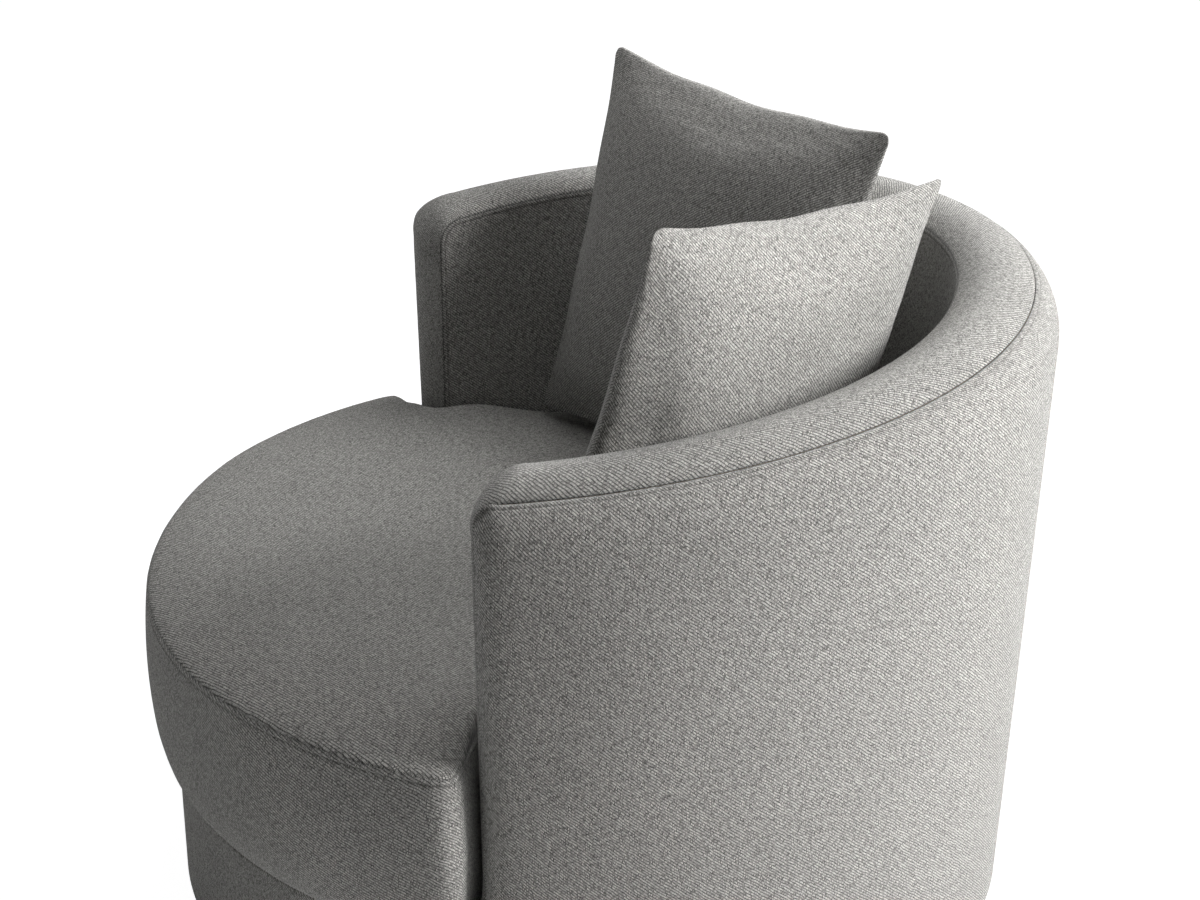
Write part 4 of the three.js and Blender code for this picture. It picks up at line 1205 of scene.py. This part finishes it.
def band_path(wall, radius):
    """Side and depth of the band's lines, with corners of the radii given, and where they face"""
    foot_gap = 1.2 * MILLIMETRE
    foot = wall.arm_seam_height - wall.deck_height - foot_gap
    half = wall.arm_end_angle * wall.line_radius
    corner = np.linspace(0, QUARTER_TURN, 17)[:, None]
    down = np.linspace(0, 1, round((foot - wall.corner_radius) / wall.cloth_step))[:-1, None]
    over = np.linspace(0, 1, round((half - wall.corner_radius) / wall.cloth_step))[1:, None]
    side = np.concatenate([
        0 * down * radius, radius * (1 - np.cos(corner)), radius + over * (half - radius)
    ])
    depth = np.concatenate([
        foot + down * (radius - foot), radius * (1 - np.sin(corner)), 0 * over * radius
    ])
    up = np.concatenate([0 * down, np.sin(corner), 1 + 0 * over])
    ahead = np.concatenate([1 + 0 * down, np.cos(corner), 0 * over])
    return side, depth, ahead, up


def band_points(wall, shares):
    """Crowned band from the foot of one arm's front, over the top, to the foot of the other's"""
    corner_boost = 0.8
    hump = 4 * shares * (1 - shares)
    radius = wall.inner_corner_radius + (wall.corner_radius - wall.inner_corner_radius) * shares
    radius += (wall.band_corner_radius - radius) * hump
    side, depth, ahead, up = band_path(wall, radius)
    crown = wall.front_crown + (wall.band_crown - wall.front_crown) * up
    lift = crown * hump * (1 + corner_boost * up * ahead)
    turn = wall.arm_end_angle - (side - lift * ahead) / wall.line_radius
    seam = wall.arm_seam_height + (top_seam(wall, turn) - wall.arm_seam_height) * up
    height = seam - depth + lift * up
    seam_at = shoulder_radius(wall, turn, height - lift * up, 0 * turn)
    radius = wall.inside_radius + shares * (seam_at - wall.inside_radius)
    half = np.stack([radius, turn, height], axis=-1)
    whole = np.concatenate([half, half[::-1][1:] * [1, -1, 1]])
    return polar(whole[..., 0], whole[..., 1], whole[..., 2])


class CHAIR_OT_top_band(bpy.types.Operator):
    """Sews the crowned band between the two panels, over the top and down both arm fronts"""

    bl_idname = "chair.top_band"
    bl_label = "Top band"

    def execute(self, context):
        wall, seams = sizes("wall_sizes"), sizes("seam_sizes")
        wave_shift = 5
        width = wall.barrel_radius - wall.seam_inset - wall.inside_radius
        shares = band_shares(wall, width)
        points = band_points(wall, shares)
        middle = points.shape[1] // 2
        run = np.repeat(run_length(points[:, middle:middle + 1], 0), len(shares), axis=1)
        edge = np.minimum(shares, 1 - shares) * width + 0 * run
        relief = seam_relief(seams, edge, run + wave_shift * shares, stitched=False)
        normals = grid_normals(points)
        if normals[len(points) // 2, middle, 2] < 0:
            normals = -normals
        points = points + normals * relief[..., None]
        weave = np.stack([run, run_length(points, 1)], axis=-1)
        # Painted shade in the seams on both sides of the band
        shade = np.where(shares < 0.5, seams.inner_shade, seams.outer_shade)
        piece = make_sheet("top_band_cover", points, weave, seam_shade(edge, shade))
        if piece.data.polygons[len(piece.data.polygons) // 2].normal.z < 0:
            piece.data.flip_normals()
        thicken(piece, wall.cloth_thickness)
        dress(piece, material("Tweed"), "chair_body", "fabric", "top_band")
        return {"FINISHED"}


class CHAIR_OT_front_panel(bpy.types.Operator):
    """Covers the low front between the arms, turned in over the deck"""

    bl_idname = "chair.front_panel"
    bl_label = "Front panel"

    def execute(self, context):
        wall = sizes("wall_sizes")
        side_gap = 0.8 * MILLIMETRE
        turn_count, row_count, bend_count = 151, 17, 7
        start = wall.arm_end_angle + side_gap / wall.line_radius
        turns = np.linspace(start, 2 * math.pi - start, turn_count)
        bend = np.linspace(0, QUARTER_TURN, bend_count)
        rounding = wall.front_rounding
        shoulder = wall.deck_height - rounding
        hem_radii, hem_heights = hem_profile(wall, wall.front_radius, bend_count)
        radius = np.concatenate([
            [wall.front_radius - wall.front_flange],
            wall.front_radius - rounding + rounding * np.sin(bend),
            np.full(row_count, wall.front_radius),
            hem_radii,
        ])[:, None]
        height = np.concatenate([
            [wall.deck_height],
            shoulder + rounding * np.cos(bend),
            np.linspace(shoulder, wall.hem_height + HEM_ROUNDING, row_count + 1)[1:],
            hem_heights,
        ])[:, None]
        points = polar(radius + 0 * turns, turns + 0 * radius, height)
        across = run_length(points[::-1], 0)[::-1]
        weave = np.stack([turns * wall.front_radius + 0 * height, across], axis=-1)
        piece = make_sheet("front_panel", points, weave)
        thicken(piece, wall.cloth_thickness)
        dress(piece, material("Tweed"), "chair_body", "fabric", "front_cover")
        return {"FINISHED"}

class CHAIR_OT_seat_cushion(bpy.types.Operator):
    """Makes the thick seat cushion with its crown, rim seam and drawn-in sides"""

    bl_idname = "chair.seat_cushion"
    bl_label = "Seat cushion"

    def execute(self, context):
        wall, cushion, seams = sizes("wall_sizes"), sizes("cushion_sizes"), sizes("seam_sizes")
        plan = cushion_plan(wall, cushion)
        rim = even_loop(plan, RIM_STEP)
        near_reach = 11 * MILLIMETRE
        near = SEAM_STEPS[SEAM_STEPS < near_reach]
        side_height = cushion.rim_height - cushion.bottom_height - cushion.bottom_seam_height
        drops = side_drops(side_height)
        top = cushion_top(cushion, plan, rim, near)
        side = cushion_side(cushion, plan, drops, side_height)
        points = np.stack(top + side + cushion_underside(cushion, plan))
        sides = slice(len(top), len(top) + len(side))
        rim_side = slice(sides.start, sides.start + len(SEAM_STEPS))

        # Relief beside the seams, and painted shade in the cloth's colour there
        edge = np.full(points.shape[:2], AWAY_FROM_SEAMS)
        edge[sides.start - len(near):sides.start] = near[::-1, None]
        edge[sides] = np.minimum(drops, side_height - drops)[:, None]
        steps = np.linalg.norm(np.diff(plan[:, :2], axis=0), axis=1)
        run = np.concatenate([[0], np.cumsum(steps)]) + 0 * edge
        relief = seam_relief(seams, edge, run, stitched=False)
        relief[rim_side] = seam_relief(seams, edge, run)[rim_side]
        normals = grid_normals(points, closed=True)
        if normals[0, 0, 2] < 0:
            normals = -normals
        points = points + normals * relief[..., None]
        low = points[sides.stop:, :, 2]
        points[sides.stop:, :, 2] = np.maximum(low, cushion.bottom_height)
        # Painted shade in both seams and along the rim's row of stitches
        crease = seam_shade(edge, seams.rim_shade)
        crease[rim_side] += seam_shade(edge[rim_side], 0, seams.rim_stitch_shade)

        # Mesh, closed by a point in the middle of its top and of its underside
        rows, count = points.shape[:2]
        faces, corners = grid_faces(rows, count, closed=True)
        weave = cushion_weave(points, plan, faces, corners, sides)
        caps = cushion_caps(rows, count)
        middles = [points[0].mean(axis=0), points[-1].mean(axis=0)]
        all_points = np.concatenate([points.reshape(-1, 3), middles])
        weave = np.concatenate([weave.reshape(-1, 2), all_points[caps][..., :2].reshape(-1, 2)])
        crease = np.concatenate([crease.ravel(), [0, 0]])
        whole = faces.tolist() + caps.tolist()
        piece = make_mesh("seat_cushion_cover", all_points, whole, weave, crease)
        if piece.data.polygons[0].normal.z < 0:
            piece.data.flip_normals()

        start = mesh_points(piece)
        moved = settled(
            piece, cushion.settling_step, cushion.growth, cushion.settling_reach,
            lambda points: cushion_seam_share(cushion, points, rim),
        )
        free = HELD_SHARE + (1 - HELD_SHARE) * rim_field(start[:, :2], rim)[1]
        moved = start + (moved - start) * free[:, None]
        moved[:, 2] = np.maximum(moved[:, 2], cushion.bottom_height)
        set_points(piece, moved)
        dress(piece, material("Tweed"), "seat_cushion", "fabric", "seat_cushion")
        first = (sides.start + STITCH_ROW) * count
        ring = moved[first:first + count]
        context.scene["rim_stitches"] = np.concatenate([ring, ring[:1]]).ravel().tolist()
        return {"FINISHED"}


def edge_draw(pillow, place):
    """Share by which a pillow's edge draws in, with a gentle wave along it"""
    wave_count, wave_start = 3, 0.6
    wave = pillow.edge_wave * np.sin(wave_count * math.pi * place + wave_start)
    return (pillow.pinch + wave) * (1 - place * place)


def pillow_grid(pillow, steps):
    """Front and back of a pillow as grids, with knife edges and blunt corners"""
    bunched_share, even_share = 0.55, 0.45
    even = np.linspace(-1, 1, steps + 1)
    spread = np.sin(QUARTER_TURN * even) * bunched_share + even * even_share
    u, v = np.meshgrid(spread, spread, indexing="ij")
    half = pillow.width / 2
    x = half * u * (1 - edge_draw(pillow, v))
    z = half * v * (1 - edge_draw(pillow, u))
    side, depth = half - np.abs(x), half - np.abs(z)
    side, depth = round_corner(side, depth, pillow.corner_rounding)
    x, z = np.sign(x) * (half - side), np.sign(z) * (half - depth)
    full = (1 - np.abs(u) ** pillow.fullness) * (1 - np.abs(v) ** pillow.fullness)
    depth = pillow.half_thickness * np.clip(full, 0, None) ** pillow.depth_power
    return x, depth, z


def edge_distance(pillow, points):
    """How far a lying pillow's points are from its sewn edge"""
    return pillow.width / 2 - np.abs(points[:, [0, 2]]).max(axis=1)


def knife_share(pillow, points):
    """One at the sewn edge of a pillow, less and less further in"""
    return bump_at(np.clip(edge_distance(pillow, points), 0, None), pillow.edge_reach)


def edge_kept(pillow, before, after):
    """Holds a pillow's sewn edge back and lets its settled faces rise from it smoothly"""
    inwards = smooth_step(edge_distance(pillow, before) / pillow.edge_rise)
    free = HELD_SHARE + (1 - HELD_SHARE) * inwards
    return before + (after - before) * free[:, None]


def pillow_mesh(name, pillow, steps):
    """A pillow lying square to the axes about the origin, its two sides sewn at the edge"""
    x, depth, z = pillow_grid(pillow, steps)
    count = steps + 1
    grid = np.stack([x, -depth, z], axis=-1)
    along, across = run_length(grid, 0), run_length(grid, 1)
    front = grid.reshape(-1, 3)
    back = np.stack([x, depth, z], axis=-1).reshape(-1, 3)
    index = np.arange(count * count).reshape(count, count)
    inside = np.zeros((count, count), dtype=bool)
    inside[1:-1, 1:-1] = True
    back_index = index.copy()
    back_index[inside] = count * count + np.arange(inside.sum())
    points = np.concatenate([front, back.reshape(count, count, 3)[inside]])
    back_shift = 0.7
    faces, corners = grid_faces(count, count)
    flat = np.stack([along, across], axis=-1).reshape(-1, 2)
    front_faces = faces[:, ::-1]
    back_faces = back_index.ravel()[faces]
    weave = np.concatenate([flat[corners[:, ::-1]], flat[corners] + back_shift])
    piece = make_mesh(name, points, np.concatenate([front_faces, back_faces]), weave)
    if piece.data.polygons[len(faces) // 2].normal.y > 0:
        piece.data.flip_normals()
    return piece


def fit_box(points, node):
    """Moves a cloud of points so that its box has the middle of a node's box"""
    low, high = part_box(node)
    middle = (np.array(low) + np.array(high)) / 2
    return points + middle - (points.min(axis=0) + points.max(axis=0)) / 2


def seat_height(cushion, wall, points):
    """Height of the seat's top under points"""
    rim = even_loop(cushion_plan(wall, cushion), RIM_STEP)
    distance, _, quick_rise = rim_field(points[:, :2], rim)
    top = cushion.rim_height + crown_rise(cushion, distance, quick_rise)
    return top + far_lift(cushion, points)


class CHAIR_OT_pillows(bpy.types.Operator):
    """Lays the two loose pillows against the wall and on the seat"""

    bl_idname = "chair.pillows"
    bl_label = "Pillows"

    def execute(self, context):
        pillow = sizes("pillow_sizes")
        leans = {
            "left_pillow": (-14.8, -7.4, -51.4),
            "right_pillow": (-14.1, 1.3, 32.6),
        }
        for node, angles in leans.items():
            lean, roll, facing = (math.radians(degrees) for degrees in angles)
            piece = pillow_mesh(node + "_cover", pillow, 112)
            before = mesh_points(piece)
            after = settled(
                piece, pillow.settling_step, pillow.growth, pillow.settling_reach,
                lambda points: knife_share(pillow, points),
            )
            set_points(piece, edge_kept(pillow, before, after))
            turn = (
                Matrix.Rotation(facing, 3, "Z")
                @ Matrix.Rotation(lean, 3, "X")
                @ Matrix.Rotation(roll, 3, "Y")
            )
            points = fit_box(mesh_points(piece) @ np.array(turn).T, node)
            set_points(piece, self.rested(pillow, points))
            dress(piece, material("Tweed"), node, "fabric", node)
        return {"FINISHED"}

    def rested(self, pillow, points):
        """Keeps a pillow's points in front of the wall and above the seat"""
        wall, cushion = sizes("wall_sizes"), sizes("cushion_sizes")
        reach = np.linalg.norm(points[:, :2], axis=1)
        low = points[:, 2] < top_seam(wall, np.arctan2(points[:, 0], points[:, 1]))
        limit = wall.inside_radius - pillow.wall_gap
        pull = np.where(low & (reach > limit), limit / reach, 1)
        points[:, :2] *= pull[:, None]
        rest = seat_height(cushion, wall, points) + pillow.seat_gap
        points[:, 2] = np.maximum(points[:, 2], rest)
        return points


def stitch_tree():
    """Geometry nodes that lay stitches along a curve"""
    shortest, longest, seed = 0.86, 1.0, 7
    inputs = {
        "Path": "Geometry",
        "Pitch": "Float",
        "Length": "Float",
        "Radius": "Float",
        "Thread": "Material",
    }
    group = bpy.data.node_groups.new("Stitches", "GeometryNodeTree")
    for name, kind in inputs.items():
        group.interface.new_socket(name, in_out="INPUT", socket_type="NodeSocket" + kind)
    group.interface.new_socket("Stitches", in_out="OUTPUT", socket_type="NodeSocketGeometry")
    tree = NodeTree(group)
    given = tree.node("NodeGroupInput")
    path, pitch, radius = given.out("Path"), given.out("Pitch"), given.out("Radius")
    spread = tree.node(
        "GeometryNodeResampleCurve", {"mode": "LENGTH"}, {"Curve": path, "Length": pitch}
    )
    bead = tree.node("GeometryNodeMeshUVSphere", {}, {"Segments": 6, "Rings": 5, "Radius": 1})
    tangent = tree.node("GeometryNodeInputTangent")
    aim = tree.node("FunctionNodeAlignEulerToVector", {"axis": "Z"}, {"Vector": tangent})
    uneven = tree.node(
        "FunctionNodeRandomValue", {"data_type": "FLOAT"}, {2: shortest, 3: longest, "Seed": seed}
    )
    uneven = Wire(tree, uneven.socket.node.outputs[1])
    half = given.out("Length") * 0.5
    shape = tree.vector(radius, radius, half * uneven)
    copies = tree.node(
        "GeometryNodeInstanceOnPoints", {},
        {"Points": spread, "Instance": bead, "Rotation": aim, "Scale": shape},
    )
    real = tree.node("GeometryNodeRealizeInstances", {}, {"Geometry": copies})
    smooth = tree.node("GeometryNodeSetShadeSmooth", {}, {"Geometry": real})
    thread = given.out("Thread")
    paint = tree.node("GeometryNodeSetMaterial", {}, {"Geometry": smooth, "Material": thread})
    tree.node("NodeGroupOutput", {}, {"Stitches": paint})
    return group


def lay_stitches(name, tree, paths, seams, body):
    """Lays one mesh of stitches along paths, riding on a body"""
    curve = bpy.data.curves.new(name + "_path", "CURVE")
    curve.dimensions = "3D"
    for path in paths:
        points = np.array(path).reshape(-1, 3)
        spline = curve.splines.new("POLY")
        spline.points.add(len(points) - 1)
        spline.points.foreach_set("co", np.column_stack([points, np.ones(len(points))]).ravel())
    holder = add_object(name + "_path", curve)
    modifier = holder.modifiers.new("Stitches", "NODES")
    modifier.node_group = tree
    values = {
        "Pitch": seams.stitch_pitch,
        "Length": seams.stitch_length,
        "Radius": seams.thread_radius,
        "Thread": material("Thread"),
    }
    for item in tree.interface.items_tree:
        if item.in_out == "INPUT" and item.name in values:
            modifier[item.identifier] = values[item.name]
    mesh = modified_mesh(holder)
    mesh.name = name
    holder.modifiers.clear()
    bpy.data.objects.remove(holder)
    piece = add_object(name, mesh)
    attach(piece, body)


class CHAIR_OT_stitches(bpy.types.Operator):
    """Lays the rows of stitches beside the seams"""

    bl_idname = "chair.stitches"
    bl_label = "Stitches"

    def execute(self, context):
        seams = sizes("seam_sizes")
        scene = context.scene
        tree = stitch_tree()
        paths = [list(scene["outer_stitches"]), list(scene["inner_stitches"])]
        lay_stitches("wall_stitches", tree, paths, seams, "chair_body")
        lay_stitches("rim_stitches", tree, [list(scene["rim_stitches"])], seams, "seat_cushion")
        return {"FINISHED"}


class CHAIR_OT_studio(bpy.types.Operator):
    """Sets the floor, the soft light and the camera"""

    bl_idname = "chair.studio"
    bl_label = "Studio"

    def execute(self, context):
        studio = sizes("studio_look")
        scene = context.scene
        scene.view_settings.view_transform = "Standard"
        self.add_floor(studio)
        self.add_world(scene, studio)
        turn, rise, away = studio.key_turn, studio.key_rise, studio.key_distance
        key = Vector((
            away * math.sin(turn) * math.cos(rise),
            away * math.cos(turn) * math.cos(rise),
            studio.key_height + away * math.sin(rise),
        ))
        self.add_lamp(studio, "Key", key, studio.key_power, studio.key_size)
        for name in ("top", "side", "over"):
            hung, power, size = (
                getattr(studio, f"{name}_{what}") for what in ("place", "power", "size")
            )
            self.add_lamp(studio, name.title(), Vector(hung), power, size)
        self.add_camera(scene, studio)
        return {"FINISHED"}

    def add_floor(self, studio):
        half = studio.floor_half
        corners = np.array([[-half, -half, 0], [half, -half, 0], [half, half, 0], [-half, half, 0]])
        floor = make_mesh("floor", corners, [[0, 1, 2, 3]])
        shader = Shader("Floor")
        shown = shader.seen() * (1 - studio.floor_shadow)
        grain = shader.noise(shader.place(), 40.0, 2.0)
        tint = shader.scaled(tuple(studio.floor_tone), 0.98 + grain * 0.04)
        matte = shader.node("ShaderNodeBsdfDiffuse", {}, {"Color": tint})
        white = shader.node("ShaderNodeEmission", {}, {"Strength": studio.floor_white})
        both = shader.node("ShaderNodeMixShader", {}, {0: shown, 1: matte, 2: white})
        shader.node("ShaderNodeOutputMaterial", {}, {"Surface": both})
        floor.data.materials.append(shader.material)

    def add_world(self, scene, studio):
        world = bpy.data.worlds.new("Studio")
        world.use_nodes = True
        scene.world = world
        tree = NodeTree(world.node_tree)
        strength = tree.seen() * (1 - studio.room_light) + studio.room_light
        light = tree.node("ShaderNodeBackground", {}, {"Color": (1, 1, 1), "Strength": strength})
        tree.node("ShaderNodeOutputWorld", {}, {"Surface": light})

    def add_lamp(self, studio, name, place, power, size):
        lamp = bpy.data.lights.new(name, "AREA")
        lamp.energy = power
        lamp.shape = "DISK"
        lamp.size = size
        holder = add_object(name, lamp)
        holder.location = place
        towards = Vector((0, 0, studio.aim_height)) - place
        holder.rotation_euler = towards.to_track_quat("-Z", "Y").to_euler()

    def add_camera(self, scene, studio):
        data = bpy.data.cameras.new("Camera")
        data.lens = studio.lens
        data.sensor_width = studio.sensor
        camera = add_object("Camera", data)
        camera.location = studio.camera_place
        yaw, pitch = studio.camera_yaw, studio.camera_pitch
        ahead = Vector((
            -math.cos(yaw) * math.cos(pitch), math.sin(yaw) * math.cos(pitch), -math.sin(pitch)
        ))
        camera.rotation_euler = ahead.to_track_quat("-Z", "Y").to_euler()
        scene.camera = camera


GROUPS = {
    "wall_sizes": WallSizes,
    "seam_sizes": SeamSizes,
    "cushion_sizes": CushionSizes,
    "pillow_sizes": PillowSizes,
    "finish_look": FinishLook,
    "studio_look": StudioLook,
}
OPERATORS = (
    CHAIR_OT_finishes,
    CHAIR_OT_outer_panel,
    CHAIR_OT_inner_panel,
    CHAIR_OT_top_band,
    CHAIR_OT_front_panel,
    CHAIR_OT_seat_cushion,
    CHAIR_OT_pillows,
    CHAIR_OT_stitches,
    CHAIR_OT_studio,
)


class CHAIR_PT_panel(bpy.types.Panel):
    """Lists the sizes and the steps of the chair"""

    bl_idname = "CHAIR_PT_panel"
    bl_label = "Cuddle chair"
    bl_space_type = "VIEW_3D"
    bl_region_type = "UI"
    bl_category = "Chair"

    def draw(self, context):
        for name, group in GROUPS.items():
            box = self.layout.box()
            box.label(text=group.__doc__)
            for prop in group.__annotations__:
                box.prop(getattr(context.scene, name), prop)
        for operator in OPERATORS:
            self.layout.operator(operator.bl_idname)


def register():
    for kind in (*GROUPS.values(), *OPERATORS, CHAIR_PT_panel):
        bpy.utils.register_class(kind)
    for name, group in GROUPS.items():
        setattr(bpy.types.Scene, name, bpy.props.PointerProperty(type=group))


def unregister():
    for name in GROUPS:
        delattr(bpy.types.Scene, name)
    for kind in reversed((*GROUPS.values(), *OPERATORS, CHAIR_PT_panel)):
        bpy.utils.unregister_class(kind)


def main():
    register()
    for operator in OPERATORS:
        group, name = operator.bl_idname.split(".")
        if getattr(getattr(bpy.ops, group), name)() != {"FINISHED"}:
            raise RuntimeError(f"{operator.bl_label} didn't finish")


if __name__ == "__main__":
    main()
